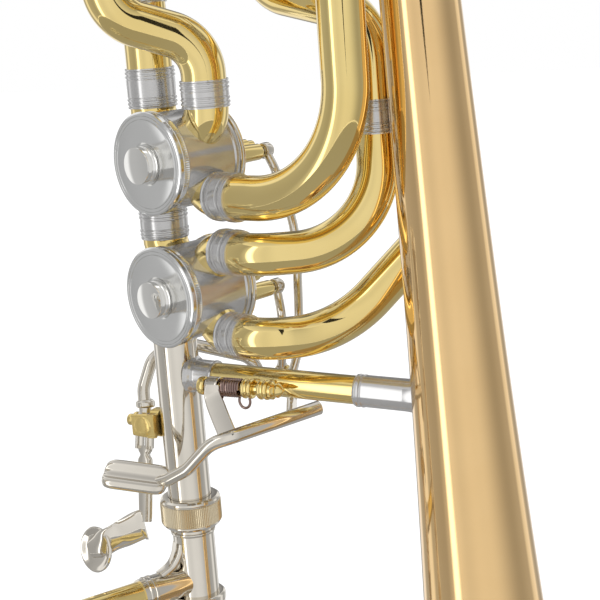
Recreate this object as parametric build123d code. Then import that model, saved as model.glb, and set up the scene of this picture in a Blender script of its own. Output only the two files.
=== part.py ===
"""Bass trombone with two independent in-line rotary valves.

Millimetres, +Z up. The instrument stands upright with the bell mouth down: the main
line (neckpipe, hand slide) runs along Z, and the bell axis leans a few degrees from it.
The origin is the centre of the bell's mouth.
"""
import math
import os

from build123d import *

# ---------------------------------------------------------------- driving dimensions
BELL_LEAN = 3.17            # degrees between the bell axis and the main line
MAIN_X = -134.0             # the main line is the vertical x = MAIN_X, y = 0
VALVE_TURN = 17.75          # degrees the valve axes are turned from -Y towards -X
ROTOR_OFFSET = 14.4         # main line to rotor axis
VALVE_Z = {1: 467.1, 2: 419.5}
BRACE_Z = 386.0             # bell brace at the neckpipe
BRACE_DROP = 1.68           # degrees the brace falls towards the bell

TUBE_R = 8.15               # main tubing, outside
TUBE_BORE_R = 7.45
F_R, F_BORE_R = 7.8, 7.2    # first valve loop
G_R, G_BORE_R = 7.4, 6.85   # second valve loop

ROTOR_R = 16.0
ROTOR_HALF = 8.0
PASSAGE_R = 6.1
CASING_R = 17.2
CASING_BORE_R = 16.05
CASING_FRONT, CASING_BACK = 12.6, -11.0
ARM_BACK = -33.5            # rear end of a stop arm's hub
BOSS_BACK = -29.0           # rear end of its crank boss
LINK_BACK = -32.5           # the links run this far behind the rotors' middles
CAP_R = 18.2
CAP_FRONT = 17.5
SPINDLE_R = 3.2
THROW = 90.0                # degrees a rotor turns
CRANK_R = {1: 8.082, 2: 9.381}
CRANK_REST = {1: -10.0, 2: -30.0}   # degrees above the horizontal
PORT_OFFSET = 15.0          # second loop's tubes above and below the rotor axis
F_PORT = 13.0               # first loop's lower tube below its rotor axis

BELL_LENGTH = 540.0
BELL_WALL = 0.6
BELL_PROFILE = [            # distance from the mouth, outside radius
    (0, 120.6), (3, 113.5), (8, 105.0), (16, 94.0), (28, 80.0), (45, 65.5), (70, 51.5),
    (100, 41.8), (150, 33.1), (200, 28.0), (286, 22.1), (386, 17.05), (486, 13.9), (BELL_LENGTH, 12.6)]
RIM_R = 1.6

TUNING_TOP = 590.0          # top of the main tuning slide's outer sleeves, along the bell
SLIDE_SPACING = 91.0        # hand slide tubes, centre to centre
SLIDE_DIR = (-0.475, -0.880)
NUT_TOP, NUT_BOTTOM = 337.9, 325.8
NUT_R = 11.6
BARREL_TOP, BARREL_BOTTOM = 298.5, 251.0
INNER_BRACE_Z = 304.5
OUTER_TOP, OUTER_BOTTOM = 281.0, -430.0
INNER_BOTTOM = -425.0
HINGE_1 = (-113.0, -10.5, 385.0)   # left end of the thumb lever's hinge
HINGE_1_LENGTH = 28.0
HINGE_2 = (-147.0, 0.0, 366.0)     # middle of the finger lever's hinge

KNUCKLE_END = 17.0          # where a valve's elbows hand over to the ferrules, from the rotor axis
BEND_Z = 512.0              # where the main line starts to lean like the bell
TUNING_START = BELL_LENGTH
F_LEG = Vector(-47.5, -20.0, 0)     # the loops' upright legs
F_LEG_2 = Vector(-130.5, -28.5, 0)
F_SLEEVE = 585.0                    # foot of the first loop's slide sleeves
F_RUN = 11.0                        # straight run out of the first valve's port
G_RISE = Vector(-50.0, 7.0, 0)
G_LEG = Vector(-103.0, 27.0, 0)
G_LEG_2 = Vector(-36.0, 25.5, 0)
G_SLEEVE = 548.0
G_RUN = 18.0
FOOT_1 = Vector(-98.0, 21.0, 371.6)   # the levers' ends, under the links
FOOT_2 = Vector(-108.0, 33.0, 372.0)
LINK_AXIS = {1: Vector(0.97281, 0.22704, 0.04572), 2: Vector(0.98368, 0.13865, -0.11464)}

# ---------------------------------------------------------------- frames
TURN = math.radians(VALVE_TURN)
FRONT = Vector(-math.sin(TURN), -math.cos(TURN), 0)   # out of a valve cap
SIDE = Vector(math.cos(TURN), -math.sin(TURN), 0)     # across a valve, towards the bell
LEAN = math.radians(BELL_LEAN)
BELL_UP = Vector(-math.sin(LEAN), 0, math.cos(LEAN))
BELL_SIDE = Vector(math.cos(LEAN), 0, math.sin(LEAN))
MAIN = Vector(MAIN_X, 0, 0)
BRACE_DIR = Vector(math.cos(math.radians(BRACE_DROP)), 0, -math.sin(math.radians(BRACE_DROP)))
SLIDE_SIDE = Vector(SLIDE_DIR[0], SLIDE_DIR[1], 0).normalized()
SLIDE_2 = MAIN + SLIDE_SIDE * SLIDE_SPACING
UP = Vector(0, 0, 1)
X_DIR = Vector(1, 0, 0)

parts = {}
gathered = {}


def keep(name, *shapes):
    """Write one node: every solid of the given shapes."""
    solids = []
    for shape in shapes:
        solids.extend(shape.solids())
    parts[name] = solids
    body = solids[0] if len(solids) == 1 else Compound(children=solids)
    export_step(body, f"parts/{name}.step")


def gather(name, *shapes):
    """Add solids to a node that several functions share."""
    gathered.setdefault(name, []).extend(shapes)


def at(origin, direction, across=None):
    """A plane at origin whose z runs along direction."""
    return Plane(origin=origin, z_dir=direction) if across is None else Plane(
        origin=origin, x_dir=across, z_dir=direction)


def rod(origin, direction, radius, start, end, bore=None):
    """A cylinder or sleeve along direction, from start to end."""
    section = Circle(radius) if bore is None else Circle(radius) - Circle(bore)
    plane = at(origin + direction * start, direction)
    return extrude(plane * section, amount=end - start)


def bar(start, end, radius, bore=None):
    direction = (end - start).normalized()
    return rod(start, direction, radius, 0, (end - start).length, bore)


def bent(points, bends, radius, bore=None):
    """A round bar or tube along straight runs joined by arcs."""
    path = FilletPolyline(*points, radius=bends)
    section = Circle(radius) if bore is None else Circle(radius) - Circle(bore)
    return sweep(at(path @ 0, path % 0) * section, path=path)


def jointed(points, radius):
    """A bent round rod made of straight pieces that run a little past each corner."""
    shape = None
    past = radius * 0.6
    for start, end in zip(points, points[1:]):
        piece = rod(start, (end - start).normalized(), radius, -past, (end - start).length + past)
        shape = piece if shape is None else shape + piece
    return shape


def turned(origin, direction, outline):
    """A solid of revolution from (distance along direction, radius) points."""
    plane = at(origin, direction)
    across = plane.x_dir
    face = make_face(Polyline(*[origin + across * r + direction * s for s, r in outline], close=True))
    return revolve(face, axis=Axis(origin, direction), revolution_arc=360)


def ball(centre, radius):
    return Pos(*centre) * Sphere(radius)


def ferrule(origin, direction, start, end, radius, bore):
    """A sleeve with two raised rings at each end."""
    body = rod(origin, direction, radius, start, end, bore)
    for place in (start + 1.4, start + 3.0, end - 3.0, end - 1.4):
        body += rod(origin, direction, radius + 0.25, place - 0.4, place + 0.4, bore)
    return body


def in_valve(number, side, front, up):
    """A point given from the rotor's middle."""
    return MAIN + SIDE * (ROTOR_OFFSET + side) + FRONT * front + UP * (VALVE_Z[number] + up)


# ---------------------------------------------------------------- bell
def bell():
    outer = [BELL_SIDE * r + BELL_UP * s for s, r in BELL_PROFILE]
    inner = [BELL_SIDE * (r - BELL_WALL) + BELL_UP * s for s, r in BELL_PROFILE]
    wall = make_face([Spline(*outer), Line(outer[-1], inner[-1]), Spline(*inner), Line(inner[0], outer[0])])
    keep("bell", revolve(wall, axis=Axis(Vector(0, 0, 0), BELL_UP), revolution_arc=360))
    ring_r = BELL_PROFILE[0][1] + RIM_R + 0.02
    keep("bell_rim_wire", at(Vector(0, 0, 0) + BELL_UP * 0.9, BELL_UP) * Torus(ring_r, RIM_R))


# ---------------------------------------------------------------- main line
def main_line():
    low, high = VALVE_Z[2], VALVE_Z[1]
    bend = MAIN + UP * BEND_Z
    legs_top = bend + BELL_UP * (TUNING_START - bend.dot(BELL_UP))
    keep("neckpipe", rod(MAIN, UP, TUBE_R, 328.5, low - KNUCKLE_END, TUBE_BORE_R))
    keep("link_tube", rod(MAIN, UP, TUBE_R, low + KNUCKLE_END, high - KNUCKLE_END, TUBE_BORE_R))
    gooseneck = bent([MAIN + UP * (high + KNUCKLE_END), bend, legs_top], 300.0, TUBE_R, TUBE_BORE_R)
    keep("gooseneck", gooseneck)
    keep("main_ferrules",
         ferrule(MAIN, UP, high + KNUCKLE_END + 1.0, high + KNUCKLE_END + 15.0, 8.75, TUBE_R),
         ferrule(MAIN, UP, low + KNUCKLE_END + 1.2, high - KNUCKLE_END - 1.6, 8.75, TUBE_R),
         rod(legs_top, BELL_UP, 8.9, -12.0, 0.0, TUBE_R),
         rod(MAIN, UP, 9.3, 331.0, 336.0, TUBE_R))


# ---------------------------------------------------------------- main tuning slide
def main_tuning():
    start = TUNING_START
    leg_at = (MAIN + UP * BEND_Z).dot(BELL_SIDE)
    neck = BELL_SIDE * leg_at
    keep("tuning_sleeves",
         rod(Vector(0, 0, 0), BELL_UP, 12.4, start, TUNING_TOP, 11.45)
         + rod(Vector(0, 0, 0), BELL_UP, 13.2, start, start + 5.0, 11.45)
         + rod(Vector(0, 0, 0), BELL_UP, 13.0, TUNING_TOP - 4.0, TUNING_TOP, 11.45),
         rod(neck, BELL_UP, 10.2, start, TUNING_TOP, 9.35)
         + rod(neck, BELL_UP, 10.9, start, start + 5.0, 9.35)
         + rod(neck, BELL_UP, 10.8, TUNING_TOP - 4.0, TUNING_TOP, 9.35))
    crook_base = TUNING_TOP + 14.0
    keep("main_slide_legs",
         rod(Vector(0, 0, 0), BELL_UP, 11.4, start + 3.0, crook_base, 10.8),
         rod(neck, BELL_UP, 9.3, start + 3.0, crook_base, 8.7),
         ferrule(Vector(0, 0, 0), BELL_UP, TUNING_TOP + 2.0, crook_base, 12.2, 11.4),
         ferrule(neck, BELL_UP, TUNING_TOP + 2.0, crook_base, 10.0, 9.3),
         bar(BELL_SIDE * -11.9 + BELL_UP * (crook_base - 6), neck + BELL_SIDE * 9.8
             + BELL_UP * (crook_base - 6), 3.2))
    radius = abs(leg_at) / 2
    middle = BELL_SIDE * (leg_at / 2)
    bell_end = BELL_UP * crook_base
    neck_end = neck + BELL_UP * crook_base
    top = middle + BELL_UP * (crook_base + radius)
    arc = ThreePointArc(bell_end, top, neck_end)
    outer = sweep(sections=[at(bell_end, BELL_UP) * Circle(11.4), at(neck_end, BELL_UP * -1) * Circle(9.3)],
                  path=arc, multisection=True)
    inner = sweep(sections=[at(bell_end, BELL_UP) * Circle(10.8), at(neck_end, BELL_UP * -1) * Circle(8.7)],
                  path=arc, multisection=True)
    keep("main_slide_crook", outer - inner)


# ---------------------------------------------------------------- rotary valves
def knuckle(number, side, up, along_side, radius, bore):
    """A short elbow from the casing at 45 degrees to a run along SIDE or UP."""
    corner = in_valve(number, side, 0, up)
    middle = in_valve(number, 0, 0, 0)
    inward = (middle - corner).normalized()
    if along_side:
        end = in_valve(number, KNUCKLE_END, 0, up)
    else:
        end = in_valve(number, side, 0, math.copysign(KNUCKLE_END, up))
    outer = bar(corner + inward * 8, corner, radius) + ball(corner, radius) + bar(corner, end, radius)
    inner = bar(corner + inward * 9, corner, bore) + ball(corner, bore)
    inner += bar(corner, end + (end - corner).normalized(), bore)
    shell = outer - inner - bar(end, end + (end - corner).normalized() * 12, radius + 1)
    return shell - rod(middle, FRONT, CASING_R, -30, 30)


def valve(number):
    middle = in_valve(number, 0, 0, 0)
    casing = rod(middle, FRONT, CASING_R, CASING_BACK, CASING_FRONT, CASING_BORE_R)
    casing += rod(middle, FRONT, CASING_R + 0.7, CASING_BACK, CASING_BACK + 2.0, CASING_BORE_R)
    rotor = rod(middle, FRONT, ROTOR_R, -ROTOR_HALF, ROTOR_HALF)
    for direction in (-1, 1):
        passage = at(middle + SIDE * (direction * ROTOR_R * math.sqrt(2)), FRONT) * Torus(ROTOR_R, PASSAGE_R)
        rotor -= passage
    rotor += rod(middle, FRONT, SPINDLE_R, ROTOR_HALF - 1, ROTOR_HALF + 2.4)
    rotor += rod(middle, FRONT, SPINDLE_R, CASING_BACK - 8.4, 1 - ROTOR_HALF)
    for quarter in range(4):
        angle = math.radians(45 + 90 * quarter)
        outward = SIDE * math.cos(angle) + UP * math.sin(angle)
        casing -= rod(middle, outward, 6.9, 13, 20)
    keep(f"valve_{number}_casing", casing)
    keep(f"valve_{number}_rotor", rotor)
    gather("valve_bearings",
         rod(middle, FRONT, 16.0, ROTOR_HALF + 0.1, ROTOR_HALF + 2.5, SPINDLE_R + 0.05),
         rod(middle, FRONT, 16.0, -ROTOR_HALF - 3.0, -ROTOR_HALF - 0.1, SPINDLE_R + 0.05))
    rear = rod(middle, FRONT, 18.3, CASING_BACK - 2.5, CASING_BACK, 4.2)
    for angle in (CRANK_REST[number] + 150, CRANK_REST[number] + 300):
        post = SIDE * (11 * math.cos(math.radians(angle))) + UP * (11 * math.sin(math.radians(angle)))
        rear += rod(middle + post, FRONT, 1.6, CASING_BACK - 9.0, CASING_BACK - 2.5)
    gather("valve_rear_caps", rear)
    cap = turned(middle, FRONT, [
        (CASING_FRONT, 0), (CASING_FRONT, CAP_R), (CAP_FRONT - 0.8, CAP_R), (CAP_FRONT, CAP_R - 0.6),
        (CAP_FRONT, 0)])
    cap -= rod(middle, FRONT, 14.5, CASING_FRONT - 1, CASING_FRONT + 2.0)
    cap -= rod(middle, FRONT, 3.0, CASING_FRONT, CAP_FRONT + 1)
    for groove in (15.6, 16.6):
        cap -= rod(middle, FRONT, groove + 0.2, CAP_FRONT - 0.3, CAP_FRONT + 1, groove - 0.2)
    keep(f"valve_{number}_cap", cap)
    run_z = F_PORT if number == 1 else PORT_OFFSET
    ports = [(-ROTOR_OFFSET, 1, False, TUBE_R, TUBE_BORE_R), (-ROTOR_OFFSET, -1, False, TUBE_R, TUBE_BORE_R)]
    if number == 1:
        ports += [(ROTOR_OFFSET, 1, False, F_R, F_BORE_R), (ROTOR_OFFSET, -1, True, F_R, F_BORE_R)]
    else:
        ports += [(ROTOR_OFFSET, 1, True, G_R, G_BORE_R), (ROTOR_OFFSET, -1, True, G_R, G_BORE_R)]
    keep(f"valve_{number}_knuckles", *[
        knuckle(number, side, up * (run_z if along else ROTOR_OFFSET), along, radius, bore)
        for side, up, along, radius, bore in ports])
    stop_arm(number)


def stop_arm(number):
    """Hub, crank with its boss, and the tail that meets the stops."""
    middle = in_valve(number, 0, 0, 0)
    angle = math.radians(CRANK_REST[number])
    outward = SIDE * math.cos(angle) + UP * math.sin(angle)
    back = CASING_BACK - 3.6
    arm = turned(middle, FRONT, [
        (back, SPINDLE_R), (back, 5.2), (back - 5.4, 5.2), (back - 5.4, 3.0), (LINK_BACK + 2.3, 3.0),
        (LINK_BACK + 2.3, 2.2), (ARM_BACK, 2.2), (ARM_BACK, 0),
        (back - 4.9, 0), (back - 4.9, SPINDLE_R)])
    crank = CRANK_R[number]
    boss = middle + outward * crank
    web = Box(crank, 5.0, 3.0)
    frame = Plane(origin=middle + outward * (crank / 2) + FRONT * (back - 3.5), x_dir=outward, z_dir=FRONT)
    arm += frame * web - rod(middle, FRONT, 4.0, back - 9, back + 2)
    arm += rod(boss, FRONT, 3.2, BOSS_BACK, back - 1.5)
    tail = Plane(origin=middle - outward * 8.5 + FRONT * (back - 3.5), x_dir=outward, z_dir=FRONT)
    arm += tail * Box(9.0, 4.4, 3.0)
    keep(f"valve_{number}_stop_arm", arm)


def stops_and_oil_screws():
    rubbers = []
    screws = []
    for number in VALVE_Z:
        middle = in_valve(number, 0, 0, 0)
        for angle in (CRANK_REST[number] + 150, CRANK_REST[number] + 300):
            turn = math.radians(angle)
            post = middle + SIDE * (11 * math.cos(turn)) + UP * (11 * math.sin(turn))
            rubbers.append(rod(post, FRONT, 2.6, CASING_BACK - 9.0, CASING_BACK - 4.0, 1.6))
        knob = turned(middle, FRONT, [
            (CASING_FRONT + 2.2, 0), (CASING_FRONT + 2.2, 3.0), (CAP_FRONT, 3.0), (CAP_FRONT, 6.6),
            (CAP_FRONT + 2.6, 6.6), (CAP_FRONT + 2.9, 6.1), (CAP_FRONT + 3.3, 6.1), (CAP_FRONT + 3.6, 6.5),
            (CAP_FRONT + 5.0, 5.9), (CAP_FRONT + 5.8, 4.0), (CAP_FRONT + 6.1, 0)])
        screws.append(knob)
    keep("stop_rubbers", *rubbers)
    keep("oil_screws", *screws)


# ---------------------------------------------------------------- valve loops
def slide_unit(name, leg_a, leg_b, base, crook_base, radius, bore):
    """A U-shaped tuning slide on two vertical legs: crook, ferrules and inner legs in one."""
    middle = (leg_a + leg_b) * 0.5
    half = (leg_b - leg_a).length / 2
    a_end, b_end = leg_a + UP * crook_base, leg_b + UP * crook_base
    arc = ThreePointArc(a_end, middle + UP * (crook_base + half), b_end)
    crook = sweep(at(a_end, UP) * (Circle(radius) - Circle(bore)), path=arc)
    keep(f"{name}_slide_crook", crook)
    inner = radius - 0.1
    keep(f"{name}_slide_legs",
         *[rod(leg, UP, inner, base, crook_base, inner - 0.6) for leg in (leg_a, leg_b)],
         bar(leg_a + (leg_b - leg_a).normalized() * radius + UP * (crook_base - 8),
             leg_b - (leg_b - leg_a).normalized() * radius + UP * (crook_base - 8), 2.8))


def loops():
    f_low = in_valve(1, KNUCKLE_END, 0, -F_PORT)
    f_corner = F_LEG + UP * f_low.Z
    f_path = [f_low, f_low + SIDE * F_RUN, f_corner, F_LEG + UP * F_SLEEVE]
    keep("f_loop_lower_tube", bent(f_path, [10.0, 40.0], F_R, F_BORE_R))
    f_top = in_valve(1, ROTOR_OFFSET, 0, KNUCKLE_END)
    s_curve = [f_top, f_top + UP * 23.0, F_LEG_2 + UP * 518.5, F_LEG_2 + UP * F_SLEEVE]
    keep("f_loop_upper_tube", bent(s_curve, [15.0, 15.0], F_R, F_BORE_R))
    sleeve = F_R + 0.6
    gather("loop_ferrules",
         ferrule(f_low, SIDE, 0.0, 10.5, F_R + 0.55, F_R),
         ferrule(f_top, UP, 1.0, 10.5, F_R + 0.55, F_R),
         rod(F_LEG, UP, sleeve, F_SLEEVE, F_SLEEVE + 95, F_R - 0.05),
         rod(F_LEG_2, UP, sleeve, F_SLEEVE, F_SLEEVE + 95, F_R - 0.05))
    slide_unit("f", F_LEG_2, F_LEG, F_SLEEVE + 3, F_SLEEVE + 108, F_R, F_BORE_R)
    g_up = in_valve(2, KNUCKLE_END, 0, PORT_OFFSET)
    g_low = in_valve(2, KNUCKLE_END, 0, -PORT_OFFSET)
    upper = [g_up, g_up + SIDE * G_RUN, G_RISE + UP * g_up.Z, G_RISE + UP * 513.0, G_LEG + UP * 524.0,
             G_LEG + UP * G_SLEEVE]
    keep("g_loop_upper_tube", bent(upper, [16.0, 30.0, 20.0, 20.0], G_R, G_BORE_R))
    lower = [g_low, g_low + SIDE * G_RUN, Vector(-68, 6, 403.0), G_LEG_2 + UP * 438.9,
             G_LEG_2 + UP * G_SLEEVE]
    keep("g_loop_lower_tube", bent(lower, [13.0, 38.0, 30.0], G_R, G_BORE_R))
    gather("loop_ferrules",
         ferrule(g_up, SIDE, 0.0, 9.2, G_R + 0.55, G_R),
         ferrule(g_low, SIDE, 0.0, 9.2, G_R + 0.55, G_R),
         ferrule(G_RISE, UP, 473.5, 485.0, G_R + 0.55, G_R),
         rod(G_LEG, UP, G_R + 0.6, G_SLEEVE, G_SLEEVE + 75, G_R - 0.05),
         rod(G_LEG_2, UP, G_R + 0.6, G_SLEEVE, G_SLEEVE + 75, G_R - 0.05))
    slide_unit("g", G_LEG, G_LEG_2, G_SLEEVE + 3, G_SLEEVE + 88, G_R, G_BORE_R)


# ---------------------------------------------------------------- braces
def braces():
    start = MAIN + UP * BRACE_Z
    bell_meet = 96.2
    sleeve_1 = rod(start, BRACE_DIR, 5.7, 7.0, 17.0) + rod(start, BRACE_DIR, 6.6, 7.0, 9.6)
    sleeve_1 -= rod(MAIN, UP, TUBE_R, BRACE_Z - 20, BRACE_Z + 20)
    sleeve_2 = rod(start, BRACE_DIR, 5.7, 74.0, bell_meet + 4) - bell_solid()
    keep("bell_brace", rod(start, BRACE_DIR, 5.1, 17.0, 74.0))
    keep("bell_brace_sleeves", sleeve_1, sleeve_2.solids().sort_by(Axis.X)[0])
    leg_at = (MAIN + UP * BEND_Z).dot(BELL_SIDE)
    upper = BELL_SIDE * leg_at + BELL_UP * 570.0
    gather("tube_braces", bar(upper + BELL_SIDE * 10.2, BELL_UP * 570.0 - BELL_SIDE * 12.4, 4.0))
    f_mid = UP * (F_SLEEVE + 40)
    g_mid = UP * (G_SLEEVE + 30)
    f_dir = (F_LEG - F_LEG_2).normalized()
    g_dir = (G_LEG_2 - G_LEG).normalized()
    gather("tube_braces",
         bar(F_LEG_2 + f_mid + f_dir * (F_R + 0.6), F_LEG + f_mid - f_dir * (F_R + 0.6), 3.2),
         bar(G_LEG + g_mid + g_dir * (G_R + 0.6), G_LEG_2 + g_mid - g_dir * (G_R + 0.6), 3.2))


def bell_solid():
    """The bell's outside near the brace, as a plain cone for trimming."""
    return turned(Vector(0, 0, 0), BELL_UP, [(286, 0), (286, 22.1), (386, 17.05), (486, 13.9), (486, 0)])


# ---------------------------------------------------------------- levers and linkages
def hinge_1_point(along, out=0.0, up=0.0):
    return Vector(HINGE_1[0] + along, HINGE_1[1] + out, HINGE_1[2] + up)


def levers():
    pin_1 = rod(hinge_1_point(0), X_DIR, 1.5, -3.0, HINGE_1_LENGTH)
    pin_1 += rod(hinge_1_point(0), X_DIR, 3.4, -5.5, -2.2)
    pin_1 += turned(hinge_1_point(0), X_DIR, [
        (HINGE_1_LENGTH - 4.2, 0), (HINGE_1_LENGTH - 4.2, 3.3), (HINGE_1_LENGTH - 2.4, 3.3),
        (HINGE_1_LENGTH - 1.4, 2.2), (HINGE_1_LENGTH, 1.6), (HINGE_1_LENGTH + 1.4, 0)])
    knob_2 = Vector(*HINGE_2)
    pin_2 = rod(knob_2, X_DIR, 1.5, -8.5, 4.4) + rod(knob_2, X_DIR, 3.3, -11.4, -6.3)
    keep("hinge_pins", pin_1, pin_2)

    posts = []
    for along in (13.0, 19.5):
        post = rod(hinge_1_point(0), X_DIR, 3.6, along, along + 4.0)
        post += Pos(*hinge_1_point(along + 2.0, 4.0, 0.2)) * Box(3.6, 9.0, 4.0)
        post -= rod(hinge_1_point(0), X_DIR, 1.55, 0, 40)
        post -= rod(MAIN + UP * BRACE_Z, BRACE_DIR, 5.1, 0, 80)
        posts.append(post.solids().sort_by(SortBy.VOLUME)[-1])
    gather("lever_mounts", *posts)
    block = Pos(-144.4, -1.5, 366) * Box(4.0, 11.0, 12.0) + Pos(-147.6, -5.8, 366) * Box(10.0, 2.4, 9.4)
    block -= rod(MAIN, UP, TUBE_R, 300, 400)
    block -= rod(knob_2, X_DIR, 1.55, -20, 20)
    gather("lever_mounts", block.solids().sort_by(SortBy.VOLUME)[-1])

    spring_1 = rod(hinge_1_point(0), X_DIR, 3.6, 3.8, 12.6, 2.2)
    spring_2 = rod(knob_2, X_DIR, 3.2, -0.9, 0.5, 2.2)
    keep("lever_springs", spring_1, spring_2)
    lever_1()
    lever_2()


def plate(start, end, width, thickness, toward):
    """A flat bar from start to end whose broad side looks toward a direction."""
    run = end - start
    along = run.normalized()
    normal = (toward - along * toward.dot(along)).normalized()
    return Plane(origin=start + run * 0.5, x_dir=along, z_dir=normal) * Box(run.length, width, thickness)


def lever_1():
    right, knee = Vector(-80.1, 8, 373.7), Vector(-99.1, -24.5, 371.1)
    stout = rod(right, (knee - right).normalized(), 2.65, 0, (knee - right).length + 1.2)
    slim = jointed([knee, Vector(-105.7, -27.5, 369.0), Vector(-115.1, -29, 359.4),
                    Vector(-123.6, -29.5, 354.8),
                    Vector(-134.0, -29, 351.3)], 2.3)
    hub = rod(hinge_1_point(0), X_DIR, 3.6, -1.6, 3.4, 1.55)
    forward = Vector(0.46, -0.86, 0.21)
    near = plate(hinge_1_point(0.9, -2.6, -2.2), Vector(-103.5, -25.6, 371.6), 4.8, 1.8, forward)
    far = plate(Vector(-104.5, -11.5, 379.5), Vector(-97.0, -20.5, 371.7), 4.6, 1.8, forward)
    reach = jointed([Vector(-87.7, -5, 372.7), Vector(-92, 8, 369.6), FOOT_1], 2.2)
    lift = rod(FOOT_1, UP, 2.0, -1.6, 4.0)
    whole = stout + slim + hub + near + far + reach + lift
    keep("lever_1", whole)
    pad_plane = Plane(origin=Vector(-135.6, -31.6, 355.4), x_dir=Vector(0.968, 0.219, -0.118),
                      z_dir=Vector(0.21, -0.53, 0.74))
    pad = pad_plane * extrude(SlotOverall(25.0, 12.0), amount=1.6, both=True)
    keep("lever_1_touch", (pad - whole).solids().sort_by(SortBy.VOLUME)[-1])


def lever_2():
    hub_at = Vector(*HINGE_2)
    hub = rod(hub_at, X_DIR, 3.6, -6.0, -1.0, 1.55)
    start = hub_at + X_DIR * -3.5
    upper = [start, Vector(-151.8, 2, 378), Vector(-150.5, 9, 389.5), Vector(-142, 21, 391.5),
             Vector(-116, 24, 386.5), Vector(-113.5, 29, 374), FOOT_2]
    top = bent(upper, [6, 6, 8, 4, 3], 2.4)
    foot_knob = rod(FOOT_2, UP, 2.4, -2.2, 4.0)
    stem = jointed([start, Vector(-150.4, -3, 352), Vector(-149, -8, 335), Vector(-148.8, -9.4, 329.5)], 1.9)
    body = (top + stem) - rod(hub_at, X_DIR, 1.55, -20, 20)
    whole = body + hub + foot_knob
    keep("lever_2", whole)
    along = Vector(0.831, 0.235, 0.507)
    paddle = Plane(origin=Vector(-158.8, -12.8, 323.6), x_dir=along, z_dir=Vector(0.30, -0.93, -0.06))
    ribbon = paddle * extrude(SlotOverall(29.0, 11.5), amount=0.9, both=True)
    dish = rod(Vector(-168.4, -15.5, 317.6), Vector(-0.244, -0.947, 0.207).normalized(), 8.9, -0.9, 0.9)
    keep("lever_2_paddle", ((ribbon + dish) - whole).solids().sort_by(SortBy.VOLUME)[-1])


def links():
    for number, foot in ((1, FOOT_1), (2, FOOT_2)):
        middle = in_valve(number, 0, 0, 0)
        angle = math.radians(CRANK_REST[number])
        crank = CRANK_R[number]
        pin = middle + SIDE * (crank * math.cos(angle)) + UP * (crank * math.sin(angle))
        head = pin + FRONT * LINK_BACK
        low = foot + UP * 7.6
        if number == 1:
            points = [low, Vector(-95.8, 26.5, 392.0), Vector(-94.6, 28.0, 436.0),
                      head + SIDE * 4 - UP * 6, head]
        else:
            points = [low, head + SIDE * 2 - UP * 12, head]
        eyes = rod(head, FRONT, 3.0, -1.6, 1.6) + rod(low, LINK_AXIS[number], 3.0, -1.6, 1.6)
        keep(f"link_{number}", jointed(points, 1.7) + eyes)


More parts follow.
